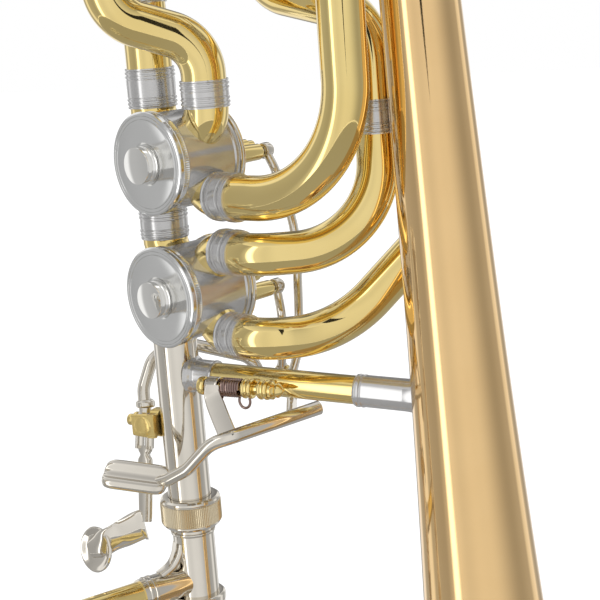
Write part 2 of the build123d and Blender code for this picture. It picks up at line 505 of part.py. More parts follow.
# ---------------------------------------------------------------- hand slide
def hand_slide():
    lines = (MAIN, SLIDE_2)
    neck = rod(MAIN, UP, 7.9, BARREL_TOP, 326.6, 7.1)
    neck += rod(MAIN, UP, 9.65, 322.5 + 4.6, 330.8, TUBE_R + 0.3) + rod(MAIN, UP, 9.65, 326.4, 327.6, 7.1)
    neck += rod(MAIN, UP, 8.5, 319.5, 321.5, 7.1)
    second = rod(SLIDE_2, UP, 7.9, BARREL_TOP, 326.0, 7.1) + rod(SLIDE_2, UP, 8.6, 322.0, 326.0, 7.1)
    gather("slide_necks", neck, second)
    nut = turned(MAIN, UP, [
        (NUT_BOTTOM + 0.4, 9.72), (NUT_BOTTOM + 0.4, NUT_R - 0.6), (NUT_BOTTOM + 1.0, NUT_R),
        (NUT_TOP - 0.8, NUT_R),
        (NUT_TOP, NUT_R - 0.8), (NUT_TOP, TUBE_R + 0.06), (NUT_TOP - 1.6, TUBE_R + 0.06),
        (NUT_TOP - 1.6, 9.72)])
    keep("slide_nut", nut)
    keep("cork_barrels", *[
        rod(line, UP, 9.9, BARREL_BOTTOM, BARREL_TOP, 8.75)
        + rod(line, UP, 9.9, BARREL_TOP - 10.0, BARREL_TOP, 7.6)
        + rod(line, UP, 10.4, BARREL_TOP - 3, BARREL_TOP, 7.6)
        for line in lines])
    keep("inner_slide_tubes", *[
        rod(line, UP, 7.6, INNER_BOTTOM, BARREL_TOP, 7.15)
        + rod(line, UP, 7.7, INNER_BOTTOM, INNER_BOTTOM + 100, 7.15) for line in lines])
    z = UP * INNER_BRACE_Z
    inner = rod(MAIN + z, SLIDE_SIDE, 5.1, 25.0, SLIDE_SPACING - 25.0)
    keep("inner_brace", inner)
    sleeves = []
    for line, direction in ((MAIN, SLIDE_SIDE), (SLIDE_2, SLIDE_SIDE * -1)):
        sleeve = rod(line + z, direction, 5.9, 6.0, 25.0) - rod(line, UP, 7.9, 290, 325)
        sleeves.append(sleeve.solids().sort_by(SortBy.VOLUME)[-1])
    gather("slide_necks", *sleeves)
    receiver = turned(SLIDE_2, UP, [
        (326.0, 7.0), (326.0, 8.6), (330.0, 8.1), (352.0, 8.1), (354.0, 9.0), (358.0, 9.0), (358.0, 6.4),
        (326.0, 6.05)])
    keep("mouthpiece_receiver", receiver)
    keep("mouthpiece", turned(SLIDE_2, UP, [
        (332.0, 4.6), (332.0, 6.0), (358.0, 6.28), (364.0, 6.7), (378.0, 8.4), (390.0, 12.2), (404.0, 16.6),
        (412.0, 19.0),
        (415.0, 19.6), (417.0, 18.6), (417.6, 16.6), (416.6, 14.6), (413.0, 13.4), (402.0, 12.0),
        (394.0, 8.6),
        (389.0, 3.8), (385.0, 3.4), (372.0, 3.9)]))
    lock_body = rod(SLIDE_2, UP, 11.3, 253.5, 264.0, 9.96)
    tab = Pos(*(SLIDE_2 - SLIDE_SIDE * 10.9)) * Pos(0, 0, 248.5) * Rot(0, 0, math.degrees(
        math.atan2(SLIDE_SIDE.Y, SLIDE_SIDE.X))) * Box(1.4, 6.0, 16.0)
    keep("slide_lock", lock_body + (tab - rod(SLIDE_2, UP, 9.96, 236, 270)))

    keep("outer_slide_tubes", *[rod(line, UP, 8.2, OUTER_BOTTOM, OUTER_TOP, 7.75) for line in lines])
    collars = []
    for line in lines:
        collars.append(rod(line, UP, 8.9, 218.0, 236.0, 8.2) + rod(line, UP, 9.3, 226.0, 228.0, 8.2))
    grip = rod(MAIN + UP * 227.0, SLIDE_SIDE, 4.6, 8.0, SLIDE_SPACING - 8.0)
    for line in lines:
        grip -= rod(line, UP, 8.9, 200, 250)
    gather("outer_slide_sleeves", *collars)
    shorter = grip - rod(MAIN, UP, 9.3, 200, 250) - rod(SLIDE_2, UP, 9.3, 200, 250)
    keep("outer_brace", shorter.solids().sort_by(SortBy.VOLUME)[-1])
    a_end, b_end = MAIN + UP * (OUTER_BOTTOM - 24), SLIDE_2 + UP * (OUTER_BOTTOM - 24)
    middle = (a_end + b_end) * 0.5
    low = middle - UP * (SLIDE_SPACING / 2)
    arc = ThreePointArc(a_end, low, b_end)
    keep("slide_bow", sweep(at(a_end, UP * -1) * (Circle(8.2) - Circle(7.6)), path=arc))
    gather("outer_slide_sleeves", *[ferrule(line, UP, OUTER_BOTTOM - 24, OUTER_BOTTOM, 8.8, 7.75)
                          + rod(line, UP, 8.8, OUTER_BOTTOM, OUTER_BOTTOM + 8, 8.2) for line in lines])
    foot = low - UP * 8.2
    bumper = turned(foot, UP * -1, [(-3.0, 0), (-3.0, 6.5), (7.0, 6.5), (9.0, 5.5), (9.0, 0)])
    ring_plane = Plane(origin=middle, x_dir=SLIDE_SIDE, z_dir=SLIDE_SIDE.cross(UP))
    torus = ring_plane * Torus(SLIDE_SPACING / 2, 8.2)
    keep("slide_bumper", (bumper - torus).solids().sort_by(SortBy.VOLUME)[-1])
    water_key(SLIDE_2 + UP * (OUTER_BOTTOM - 12))


def water_key(place):
    """A sprung lever with a cork that covers the drain hole on the second leg's sleeve."""
    out = SLIDE_SIDE
    flat = out.cross(UP)
    hinge = place + out * 12.0 + UP * 7.0
    saddle = Plane(origin=place + out * 10.6 + UP * 7.0, x_dir=out, z_dir=flat) * Box(3.6, 5.0, 8.0)
    saddle -= rod(place, UP, 9.05, -20, 30)
    saddle -= rod(hinge, flat, 1.05, -9, 9)
    saddle -= Plane(origin=hinge, x_dir=out, z_dir=flat) * Box(6.0, 8.0, 4.4)
    keep("water_key_saddle", saddle, rod(hinge, flat, 1.0, -4.4, 4.4))
    lever = rod(hinge, flat, 1.9, -2.0, 2.0, 1.05)
    lever += Plane(origin=hinge + UP * -8.0 + out * 0.9, x_dir=out, z_dir=UP) * Box(1.4, 4.0, 13.0)
    lever += Plane(origin=hinge + UP * 11.0 + out * 1.6, x_dir=out, z_dir=UP) * Box(1.4, 6.0, 19.0)
    lever -= rod(hinge, flat, 1.05, -9, 9)
    keep("water_key", lever)
    cork = rod(hinge + UP * -11.5, out, 2.8, -2.7, 0.2)
    keep("water_key_cork", cork)


# ---------------------------------------------------------------- build

os.makedirs("parts", exist_ok=True)
bell()
main_line()
main_tuning()
for valve_number in VALVE_Z:
    valve(valve_number)
stops_and_oil_screws()
loops()
braces()
levers()
links()
hand_slide()
for node, shapes in gathered.items():
    keep(node, *shapes)
print(len(parts), "nodes")
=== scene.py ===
"""The looks of a bass trombone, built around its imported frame.

Lengths here are millimetres until a Skin is made into a mesh, which is in metres.
"""
import math

import bmesh
import bpy
from mathutils import Matrix, Quaternion, Vector

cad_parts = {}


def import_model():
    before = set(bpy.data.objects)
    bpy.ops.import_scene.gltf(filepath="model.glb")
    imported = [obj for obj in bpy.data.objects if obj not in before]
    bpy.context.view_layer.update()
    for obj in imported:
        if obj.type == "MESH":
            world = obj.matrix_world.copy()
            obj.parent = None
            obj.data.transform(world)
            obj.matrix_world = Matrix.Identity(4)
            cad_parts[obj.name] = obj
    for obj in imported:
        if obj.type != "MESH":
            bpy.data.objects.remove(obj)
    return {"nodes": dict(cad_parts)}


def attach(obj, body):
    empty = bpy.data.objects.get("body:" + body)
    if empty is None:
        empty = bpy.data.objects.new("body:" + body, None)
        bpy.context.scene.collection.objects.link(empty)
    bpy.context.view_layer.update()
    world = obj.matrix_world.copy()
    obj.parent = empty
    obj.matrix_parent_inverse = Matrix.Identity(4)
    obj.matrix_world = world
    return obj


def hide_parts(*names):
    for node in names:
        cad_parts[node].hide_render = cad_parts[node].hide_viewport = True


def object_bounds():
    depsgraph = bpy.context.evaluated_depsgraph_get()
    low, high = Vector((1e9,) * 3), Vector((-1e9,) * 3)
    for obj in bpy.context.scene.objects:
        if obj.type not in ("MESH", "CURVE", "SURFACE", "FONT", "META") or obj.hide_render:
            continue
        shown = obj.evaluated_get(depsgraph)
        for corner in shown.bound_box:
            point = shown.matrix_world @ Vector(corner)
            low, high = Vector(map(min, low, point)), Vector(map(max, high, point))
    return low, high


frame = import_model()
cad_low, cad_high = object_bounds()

# ---------------------------------------------------------------- dimensions, as in the frame
TURN = math.radians(17.75)
LEAN = math.radians(3.17)
DROP = math.radians(1.68)
FRONT = Vector((-math.sin(TURN), -math.cos(TURN), 0))
SIDE = Vector((math.cos(TURN), -math.sin(TURN), 0))
BELL_UP = Vector((-math.sin(LEAN), 0, math.cos(LEAN)))
BELL_SIDE = Vector((math.cos(LEAN), 0, math.sin(LEAN)))
BRACE_DIR = Vector((math.cos(DROP), 0, -math.sin(DROP)))
UP = Vector((0, 0, 1))
X_DIR = Vector((1, 0, 0))
ORIGIN = Vector((0, 0, 0))
MAIN = Vector((-134, 0, 0))
SLIDE_SIDE = Vector((-0.475, -0.880, 0)).normalized()
SLIDE_SPACING = 91.0
SLIDE_2 = MAIN + SLIDE_SIDE * SLIDE_SPACING
SLIDE_FLAT = SLIDE_SIDE.cross(UP)
VALVE_Z = {1: 467.1, 2: 419.5}
ROTOR_OFFSET = 14.4
PORT = 15.0
F_PORT = 13.0
CRANK = {1: 8.082, 2: 9.381}
LINK_AXIS = {1: Vector((0.97281, 0.22704, 0.04572)), 2: Vector((0.98368, 0.13865, -0.11464))}
LINK_BACK = -32.5
CRANK_REST = {1: -10.0, 2: -30.0}
KNUCKLE_END = 17.0
BELL_PROFILE = [(0, 120.6), (3, 113.5), (8, 105.0), (16, 94.0), (28, 80.0), (45, 65.5), (70, 51.5),
    (100, 41.8), (150, 33.1), (200, 28.0), (286, 22.1), (386, 17.05), (486, 13.9), (540, 12.6)]
BELL_WALL = 0.6
BELL_END = 540.0
TUNING_TOP = 590.0
BEND_Z = 512.0
F_LEG = Vector((-47.5, -20.0, 0))
F_LEG_2 = Vector((-130.5, -28.5, 0))
F_SLEEVE = 585.0
G_RISE = Vector((-50.0, 7.0, 0))
G_LEG = Vector((-103.0, 27.0, 0))
G_LEG_2 = Vector((-36.0, 25.5, 0))
G_SLEEVE = 548.0
F_R, F_BORE = 7.8, 7.2
G_R, G_BORE = 7.4, 6.85
TUBE_R, TUBE_BORE = 8.15, 7.45
CASING_R = 17.2
HINGE_1 = Vector((-113.0, -10.5, 385.0))
HINGE_2 = Vector((-147.0, 0.0, 366.0))
FOOT_1 = Vector((-98.0, 21.0, 371.6))
FOOT_2 = Vector((-108.0, 33.0, 372.0))
OUTER_TOP, OUTER_BOTTOM = 281.0, -430.0
BARREL_TOP = 298.5
INNER_BRACE_Z = 304.5
INNER_BOTTOM = -425.0


def in_valve(number, side, front, up):
    """A point given from a rotor's middle."""
    return MAIN + SIDE * (ROTOR_OFFSET + side) + FRONT * front + UP * (VALVE_Z[number] + up)


# ---------------------------------------------------------------- materials
def new_material(name):
    material = bpy.data.materials.new(name)
    material.use_nodes = True
    nodes = material.node_tree.nodes
    return material, nodes, material.node_tree.links, nodes["Principled BSDF"]


def noise(nodes, links, scale, detail, stretch=None):
    """Noise over object coordinates, stretched along one axis where asked."""
    coordinates = nodes.new("ShaderNodeTexCoord")
    texture = nodes.new("ShaderNodeTexNoise")
    texture.inputs["Scale"].default_value = scale
    texture.inputs["Detail"].default_value = detail
    if stretch is None:
        links.new(coordinates.outputs["Object"], texture.inputs["Vector"])
    else:
        mapping = nodes.new("ShaderNodeMapping")
        mapping.inputs["Scale"].default_value = stretch
        links.new(coordinates.outputs["Object"], mapping.inputs["Vector"])
        links.new(mapping.outputs["Vector"], texture.inputs["Vector"])
    return texture.outputs["Fac"]


def ramp(nodes, links, source, stops):
    node = nodes.new("ShaderNodeValToRGB")
    links.new(source, node.inputs["Fac"])
    elements = node.color_ramp.elements
    while len(elements) < len(stops):
        elements.new(0.5)
    for element, (place, colour) in zip(elements, stops):
        element.position = place
        element.color = (*colour, 1)
    return node.outputs["Color"]


def spread(nodes, links, source, low, high):
    node = nodes.new("ShaderNodeMapRange")
    links.new(source, node.inputs["Value"])
    node.inputs["From Min"].default_value = 0.3
    node.inputs["From Max"].default_value = 0.7
    node.inputs["To Min"].default_value = low
    node.inputs["To Max"].default_value = high
    return node.outputs["Result"]


def bump(nodes, links, shader, source, strength, distance):
    node = nodes.new("ShaderNodeBump")
    node.inputs["Strength"].default_value = strength
    node.inputs["Distance"].default_value = distance
    links.new(source, node.inputs["Height"])
    links.new(node.outputs["Normal"], shader.inputs["Normal"])


def polished(name, light, dark, smooth, dull, coat=0.0, grain=0.06, stretch=(1, 1, 1), metal=1.0):
    """Polished metal: cloudy tint, hand-polished gloss and faint buffing marks."""
    material, nodes, links, shader = new_material(name)
    shader.inputs["Metallic"].default_value = metal
    shader.inputs["Coat Weight"].default_value = coat
    shader.inputs["Coat Roughness"].default_value = 0.03
    cloud = noise(nodes, links, 26.0, 4.0)
    links.new(ramp(nodes, links, cloud, [(0.3, dark), (0.62, light)]), shader.inputs["Base Color"])
    wipe = noise(nodes, links, 150.0, 5.0, stretch)
    links.new(spread(nodes, links, wipe, smooth, dull), shader.inputs["Roughness"])
    scratch = noise(nodes, links, 900.0, 3.0, stretch)
    bump(nodes, links, shader, scratch, grain, 0.00003)
    return material


def soft_stuff(name, light, dark, rough, scale, height):
    """Rubber or cork: matt, mottled and a little grainy."""
    material, nodes, links, shader = new_material(name)
    mottle = noise(nodes, links, scale, 6.0)
    links.new(ramp(nodes, links, mottle, [(0.35, dark), (0.65, light)]), shader.inputs["Base Color"])
    links.new(spread(nodes, links, mottle, rough - 0.1, rough + 0.1), shader.inputs["Roughness"])
    bump(nodes, links, shader, mottle, 0.5, height)
    return material


YELLOW = polished("lacquered_yellow_brass", (0.90, 0.71, 0.30), (0.85, 0.65, 0.25), 0.035, 0.075, coat=0.25)
GOLD = polished("lacquered_gold_brass", (0.89, 0.615, 0.30), (0.85, 0.575, 0.27), 0.05, 0.09, coat=0.3,
    stretch=(1, 1, 0.15))
NICKEL = polished("polished_nickel_silver", (0.78, 0.735, 0.655), (0.72, 0.675, 0.595), 0.04, 0.085)
SATIN = polished("satin_nickel_silver", (0.60, 0.595, 0.59), (0.575, 0.57, 0.565), 0.15, 0.19, grain=0.02,
    metal=0.8)
BLOCK = polished("cast_brass_block", (0.88, 0.68, 0.27), (0.80, 0.60, 0.22), 0.12, 0.2, metal=0.85)
PLATE = polished("bright_silver_plate", (0.90, 0.89, 0.86), (0.85, 0.84, 0.81), 0.03, 0.07)
CAP = polished("faced_nickel", (0.80, 0.80, 0.79), (0.765, 0.765, 0.755), 0.10, 0.16)
SLIDE = polished("chrome_slide_tube", (0.84, 0.84, 0.83), (0.78, 0.79, 0.79), 0.03, 0.06,
    stretch=(1, 1, 0.1))
KNURL = polished("knurled_nickel", (0.72, 0.62, 0.44), (0.64, 0.54, 0.37), 0.16, 0.28)
SPRING = polished("blued_spring_wire", (0.34, 0.24, 0.21), (0.20, 0.14, 0.13), 0.14, 0.26)
BRONZE = polished("turned_bronze", (0.80, 0.66, 0.40), (0.70, 0.56, 0.33), 0.12, 0.22)
RUBBER = soft_stuff("black_rubber", (0.035, 0.034, 0.033), (0.018, 0.018, 0.018), 0.62, 320.0, 0.0002)
CORK = soft_stuff("natural_cork", (0.62, 0.45, 0.27), (0.38, 0.24, 0.13), 0.8, 480.0, 0.0004)


# ---------------------------------------------------------------- curves and outlines
def turn_about(vector, axis, angle):
    return Quaternion(axis, angle) @ vector


def square_to(direction):
    """A direction at right angles to the given one."""
    other = UP if abs(direction.z) < 0.9 else X_DIR
    return direction.cross(other).normalized()


def route(points, bends, step=5.0):
    """Points along straight runs joined by arcs of the given radii."""
    line = [points[0]]
    for index, radius in enumerate(bends):
        before, corner, after = points[index:index + 3]
        back, ahead = (before - corner).normalized(), (after - corner).normalized()
        angle = math.pi - back.angle(ahead)
        if angle < 0.01:
            line.append(corner)
            continue
        reach = radius * math.tan(angle / 2)
        centre = corner + (back + ahead).normalized() * (radius / math.cos(angle / 2))
        spoke = corner + back * reach - centre
        axis = spoke.cross(corner + ahead * reach - centre).normalized()
        count = max(3, round(math.degrees(angle) / step))
        line.extend(centre + turn_about(spoke, axis, angle * k / count) for k in range(count + 1))
    line.append(points[-1])
    return line


def half_turn(start, top, end, count=36):
    """A half circle from start to end that passes over top."""
    middle = (start + end) / 2
    across, rise = start - middle, top - middle
    return [middle + across * math.cos(math.pi * k / count) + rise * math.sin(math.pi * k / count)
            for k in range(count + 1)]


def soften(outline, size, closed=False):
    """Rounds an outline's corners."""
    result = []
    for index, point in enumerate(outline):
        if not closed and index in (0, len(outline) - 1):
            result.append(tuple(point))
            continue
        corner = Vector(point)
        back = Vector(outline[index - 1]) - corner
        ahead = Vector(outline[(index + 1) % len(outline)]) - corner
        cut = min(size, 0.45 * back.length, 0.45 * ahead.length)
        start, end = corner + back.normalized() * cut, corner + ahead.normalized() * cut
        for t in (0, 0.3, 0.7, 1):
            result.append(tuple(start * (1 - t) ** 2 + corner * 2 * t * (1 - t) + end * t * t))
    return result


def smooth_curve(points, count):
    """A curve through points, with count steps between neighbours."""
    padded = [points[0] * 2 - points[1], *points, points[-1] * 2 - points[-2]]
    line = []
    for index in range(1, len(padded) - 2):
        a, b, c, d = padded[index - 1:index + 3]
        spans = [max(1e-6, math.sqrt((q - p).length)) for p, q in ((a, b), (b, c), (c, d))]
        out_b = ((b - a) / spans[0] - (c - a) / (spans[0] + spans[1]) + (c - b) / spans[1]) * spans[1]
        in_c = ((c - b) / spans[1] - (d - b) / (spans[1] + spans[2]) + (d - c) / spans[2]) * spans[1]
        for k in range(count):
            t = k / count
            line.append(b * (2 * t ** 3 - 3 * t ** 2 + 1) + out_b * (t ** 3 - 2 * t ** 2 + t)
                        + c * (3 * t ** 2 - 2 * t ** 3) + in_c * (t ** 3 - t ** 2))
    line.append(points[-1])
    return line


def tangents(line):
    ahead = [line[1] - line[0]] + [b - a for a, b in zip(line, line[2:])] + [line[-1] - line[-2]]
    return [step.normalized() for step in ahead]


def frames(line, hint=None):
    """For each point of a line, two directions square to it. A hint keeps the first near one way."""
    result = []
    across = None
    for heading in tangents(line):
        base = hint if hint is not None else across
        if base is None:
            base = square_to(heading)
        across = (base - heading * base.dot(heading)).normalized()
        result.append((across, heading.cross(across)))
    return result


def circle(radius, count):
    return [(radius * math.cos(2 * math.pi * k / count),
        radius * math.sin(2 * math.pi * k / count)) for k in range(count)]


def pad(width, thickness, corner, count=5):
    """A flat bar's section with rounded corners."""
    corner = min(corner, thickness / 2 - 0.01, width / 2 - 0.01)
    points = []
    for quarter in range(4):
        sign_u = 1 if quarter in (0, 3) else -1
        sign_v = 1 if quarter in (0, 1) else -1
        for k in range(count):
            angle = math.pi / 2 * (quarter + k / (count - 1))
            points.append((sign_u * (width / 2 - corner) + corner * math.cos(angle),
                sign_v * (thickness / 2 - corner) + corner * math.sin(angle)))
    return points


# ---------------------------------------------------------------- meshes
class Skin:
    """Surfaces that become one mesh."""

    def __init__(self, *materials):
        self.mesh = bmesh.new()
        self.materials = materials

    def loft(self, rings, joined=False, capped=False, finish=0):
        """Faces between rings of points. joined also ties the last ring to the first."""
        layers = [[self.mesh.verts.new(point) for point in ring] for ring in rings]
        count = len(rings[0])
        pairs = list(zip(layers, layers[1:]))
        if joined:
            pairs.append((layers[-1], layers[0]))
        made = []
        for low, high in pairs:
            for k in range(count):
                after = (k + 1) % count
                made.append(self.mesh.faces.new((low[k], low[after], high[after], high[k])))
        if capped:
            made.append(self.mesh.faces.new(layers[0][::-1]))
            made.append(self.mesh.faces.new(layers[-1]))
        for face in made:
            face.material_index = finish

    def turned(self, origin, direction, outline, steps=64, joined=False, finish=0, teeth=0, depth=0.0,
            span=None):
        """Revolves (distance, radius) points about a line. Teeth cut the radius within a span."""
        across = square_to(direction)
        other = direction.cross(across)
        rings = []
        for place, radius in outline:
            ring = []
            for k in range(steps):
                angle = 2 * math.pi * k / steps
                cut = 0.0
                if teeth and span[0] <= place <= span[1]:
                    cut = depth * (0.5 - 0.5 * math.cos(angle * teeth))
                spoke = across * math.cos(angle) + other * math.sin(angle)
                ring.append(origin + direction * place + spoke * (radius - cut))
            rings.append(ring)
        self.loft(rings, joined=joined, finish=finish)

    def shape(self, origin, direction, outline, edge, steps=64, **more):
        """A turned solid with softened corners."""
        self.turned(origin, direction, soften(outline, edge), steps, **more)

    def hollow(self, origin, direction, outline, edge, steps=64, **more):
        """A turned piece with a hole through it and softened corners."""
        self.turned(origin, direction, soften(outline, edge, True), steps, joined=True, **more)

    def swept(self, line, section, hint=None, scale=None, finish=0):
        """A solid bar: a section carried along a line, with a size factor for each point where given."""
        rings = []
        for index, (point, (u, v)) in enumerate(zip(line, frames(line, hint))):
            factor = 1.0 if scale is None else scale[index]
            width, height = factor if isinstance(factor, tuple) else (factor, factor)
            rings.append([point + u * (a * width) + v * (b * height) for a, b in section])
        self.loft(rings, capped=True, finish=finish)

    def pipe(self, line, radius, bore, steps=56, finish=0):
        """A tube with a wall and two ring-shaped ends. Radii may be a pair, from start to end."""
        rings = []
        ends = [value if isinstance(value, tuple) else (value, value) for value in (radius, bore)]
        lengths = [0.0]
        for a, b in zip(line, line[1:]):
            lengths.append(lengths[-1] + (b - a).length)
        for start, end in ends:
            layer = []
            for (point, (u, v)), place in zip(zip(line, frames(line)), lengths):
                r = start + (end - start) * place / lengths[-1]
                layer.append([point + u * a + v * b for a, b in circle(r, steps)])
            rings.append(layer)
        self.loft(rings[0] + rings[1][::-1], joined=True, finish=finish)

    def rod(self, start, end, radius, edge=0.3, steps=40, finish=0):
        """A round bar with softened ends."""
        length = (end - start).length
        outline = soften([(0, 0), (0, radius), (length, radius), (length, 0)], edge)
        self.turned(start, (end - start).normalized(), outline, steps, finish=finish)

    def sleeve(self, start, end, radius, bore, edge=0.25, steps=64, finish=0):
        """A short tube with softened ends."""
        length = (end - start).length
        outline = soften([(0, bore), (0, radius), (length, radius), (length, bore)], edge, closed=True)
        self.turned(start, (end - start).normalized(), outline, steps, joined=True, finish=finish)

    def ball(self, centre, radius, steps=32, squash=1.0, direction=UP, finish=0):
        outline = []
        for k in range(steps // 2 + 1):
            angle = math.pi * k / (steps // 2)
            outline.append((-radius * squash * math.cos(angle), radius * math.sin(angle)))
        self.turned(centre, direction, outline, steps, finish=finish)

    def ferrule(self, origin, direction, start, end, radius, bore, finish=0):
        """A sleeve with a lip and two raised rings between engraved lines at each end."""
        length = end - start
        outline = [(0, bore), (0, radius + 0.05), (0.5, radius + 0.12), (0.85, radius - 0.16)]
        for ring in (1.55, 2.95):
            outline += [(ring - 0.42, radius - 0.16), (ring - 0.3, radius + 0.18), (ring, radius + 0.26),
                (ring + 0.3, radius + 0.18), (ring + 0.42, radius - 0.16)]
        outline += [(3.7, radius - 0.14), (3.9, radius)]
        mirrored = [(length - place, r) for place, r in outline[::-1]]
        self.turned(origin + direction * start, direction, outline + mirrored, joined=True, finish=finish)

    def made(self, name, body, *nodes, crease=30.0):
        """Makes the mesh, in metres, hangs it on its body and hides the frame parts it takes the place of.
        """
        bmesh.ops.scale(self.mesh, vec=(0.001,) * 3, verts=self.mesh.verts)
        bmesh.ops.remove_doubles(self.mesh, verts=self.mesh.verts, dist=2e-7)
        bmesh.ops.dissolve_degenerate(self.mesh, edges=self.mesh.edges, dist=1e-8)
        bmesh.ops.recalc_face_normals(self.mesh, faces=self.mesh.faces)
        data = bpy.data.meshes.new(name)
        self.mesh.to_mesh(data)
        self.mesh.free()
        for material in self.materials:
            data.materials.append(material)
        for polygon in data.polygons:
            polygon.use_smooth = True
        data.set_sharp_from_angle(angle=math.radians(crease))
        piece = bpy.data.objects.new(name, data)
        bpy.context.scene.collection.objects.link(piece)
        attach(piece, body)
        if nodes:
            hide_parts(*nodes)
        return piece


FIXED = "bell_section"


def place(*values):
    return Vector(values)


def tube(name, body, node, material, line, radius, bore, steps=56):
    """One bent or straight tube as a piece of its own."""
    skin = Skin(material)
    skin.pipe(line, radius, bore, steps)
    skin.made(name, body, node)


def bell():
    outer = [(p.x, p.y) for p in smooth_curve([Vector(pair) for pair in BELL_PROFILE], 8)]
    inner = [(along, radius - BELL_WALL) for along, radius in outer]
    skin = Skin(GOLD)
    skin.turned(ORIGIN, BELL_UP, outer + inner[::-1], 192, joined=True)
    skin.made("bell_skin", FIXED, "bell")
    wire = Skin(GOLD)
    wire.turned(ORIGIN, BELL_UP, [(0.9 + b, 122.22 + a) for a, b in circle(1.6, 20)], 192, joined=True)
    wire.made("bell_bead", FIXED, "bell_rim_wire")


def main_line():
    low, high = VALVE_Z[2], VALVE_Z[1]
    bend = MAIN + UP * BEND_Z
    top = bend + BELL_UP * (BELL_END - bend.dot(BELL_UP))
    neck = Skin(NICKEL)
    neck.pipe([MAIN + UP * 328.5, MAIN + UP * (low - KNUCKLE_END + 1)], TUBE_R, TUBE_BORE, 96)
    neck.shape(MAIN, UP, [(399.0, TUBE_R - 0.2), (399.2, 8.6), (401.6, 8.6), (401.9, TUBE_R - 0.2)], 0.2, 96)
    neck.made("neck_tube", FIXED, "neckpipe")
    tube("link_pipe", FIXED, "link_tube", YELLOW, [MAIN + UP * (low + KNUCKLE_END - 1),
        MAIN + UP * (high - KNUCKLE_END + 1)], TUBE_R, TUBE_BORE)
    tube("gooseneck_pipe", FIXED, "gooseneck", YELLOW, route([MAIN + UP * (high + KNUCKLE_END - 1), bend,
        top], [300.0], 1.0), TUBE_R, TUBE_BORE)
    rings = Skin(SATIN)
    rings.ferrule(MAIN, UP, high + KNUCKLE_END + 1.0, high + KNUCKLE_END + 15.0, 8.75, TUBE_R)
    rings.ferrule(MAIN, UP, low + KNUCKLE_END + 1.2, high - KNUCKLE_END - 1.6, 8.75, TUBE_R)
    rings.ferrule(top, BELL_UP, -12.0, 0.0, 8.8, TUBE_R)
    rings.sleeve(MAIN + UP * 331, MAIN + UP * 336, 9.3, TUBE_R, 0.5)
    rings.made("main_line_ferrules", FIXED, "main_ferrules")


def main_tuning():
    leg_at = (MAIN + UP * BEND_Z).dot(BELL_SIDE)
    neck = BELL_SIDE * leg_at
    base = TUNING_TOP + 14.0
    sleeves = Skin(SATIN)
    for leg, r, bore in ((ORIGIN, 12.4, 11.45), (neck, 10.2, 9.35)):
        outline = [(BELL_END, bore), (BELL_END, r + 0.7), (BELL_END + 1.4, r + 0.8),
            (BELL_END + 1.8, r + 0.2), (BELL_END + 3.2, r + 0.2), (BELL_END + 3.6, r + 0.7),
            (BELL_END + 5.0, r + 0.6), (BELL_END + 5.4, r), (TUNING_TOP - 4.4, r),
            (TUNING_TOP - 4.0, r + 0.6), (TUNING_TOP, r + 0.6), (TUNING_TOP, bore)]
        sleeves.hollow(leg, BELL_UP, outline, 0.3, 96)
    sleeves.made("main_tuning_sleeves", FIXED, "tuning_sleeves")
    legs = Skin(NICKEL, YELLOW)
    for leg, r, bore, ring in ((ORIGIN, 11.4, 10.8, 12.2), (neck, 9.3, 8.7, 10.0)):
        legs.pipe([leg + BELL_UP * (BELL_END + 3), leg + BELL_UP * base], r, bore, 80)
        legs.ferrule(leg, BELL_UP, TUNING_TOP + 2.0, base, ring, r)
    high = BELL_UP * (base - 6)
    bell_side, neck_side = high - BELL_SIDE * 11.9, high + neck + BELL_SIDE * 9.8
    legs.rod(bell_side, neck_side, 3.2, finish=1)
    legs.rod(bell_side + BELL_SIDE * 0.1, bell_side - BELL_SIDE * 8, 4.0, 0.8)
    legs.rod(neck_side - BELL_SIDE * 0.1, neck_side + BELL_SIDE * 8, 4.0, 0.8)
    legs.made("main_slide_inner_legs", "main_tuning_slide", "main_slide_legs")
    start, end = BELL_UP * base, neck + BELL_UP * base
    top = neck / 2 + BELL_UP * (base + abs(leg_at) / 2)
    tube("main_crook", "main_tuning_slide", "main_slide_crook", YELLOW, half_turn(start, top, end, 60),
        (11.4, 9.3), (10.8, 8.7), 72)


# ---------------------------------------------------------------- rotary valves
CAP_FACE, KNOB_FACE = 17.5, 17.3        # from a rotor's middle to the front of its cap
DOME_R, DOME_HALF, DOME_RINGS = 31.0, 12.0, 10
STOP_RADIUS = 11                        # stop posts stand this far from the spindle


def knob_outline(face):
    return [(face - 2.7, 0), (face - 2.7, 3.0), (face + 0.02, 3.0), (face + 0.02, 6.6), (face + 1.5, 6.6),
        (face + 1.75, 6.15), (face + 2.3, 6.15), (face + 2.55, 6.6), (face + 4.0, 6.6), (face + 4.35, 6.52)]


def knob_dome(face):
    """The gently domed end of an oil screw."""
    angles = [math.radians(DOME_HALF * (1 - k / DOME_RINGS)) for k in range(DOME_RINGS + 1)]
    return [(face + 5.2 - DOME_R * (1 - math.cos(angle)), DOME_R * math.sin(angle)) for angle in angles]


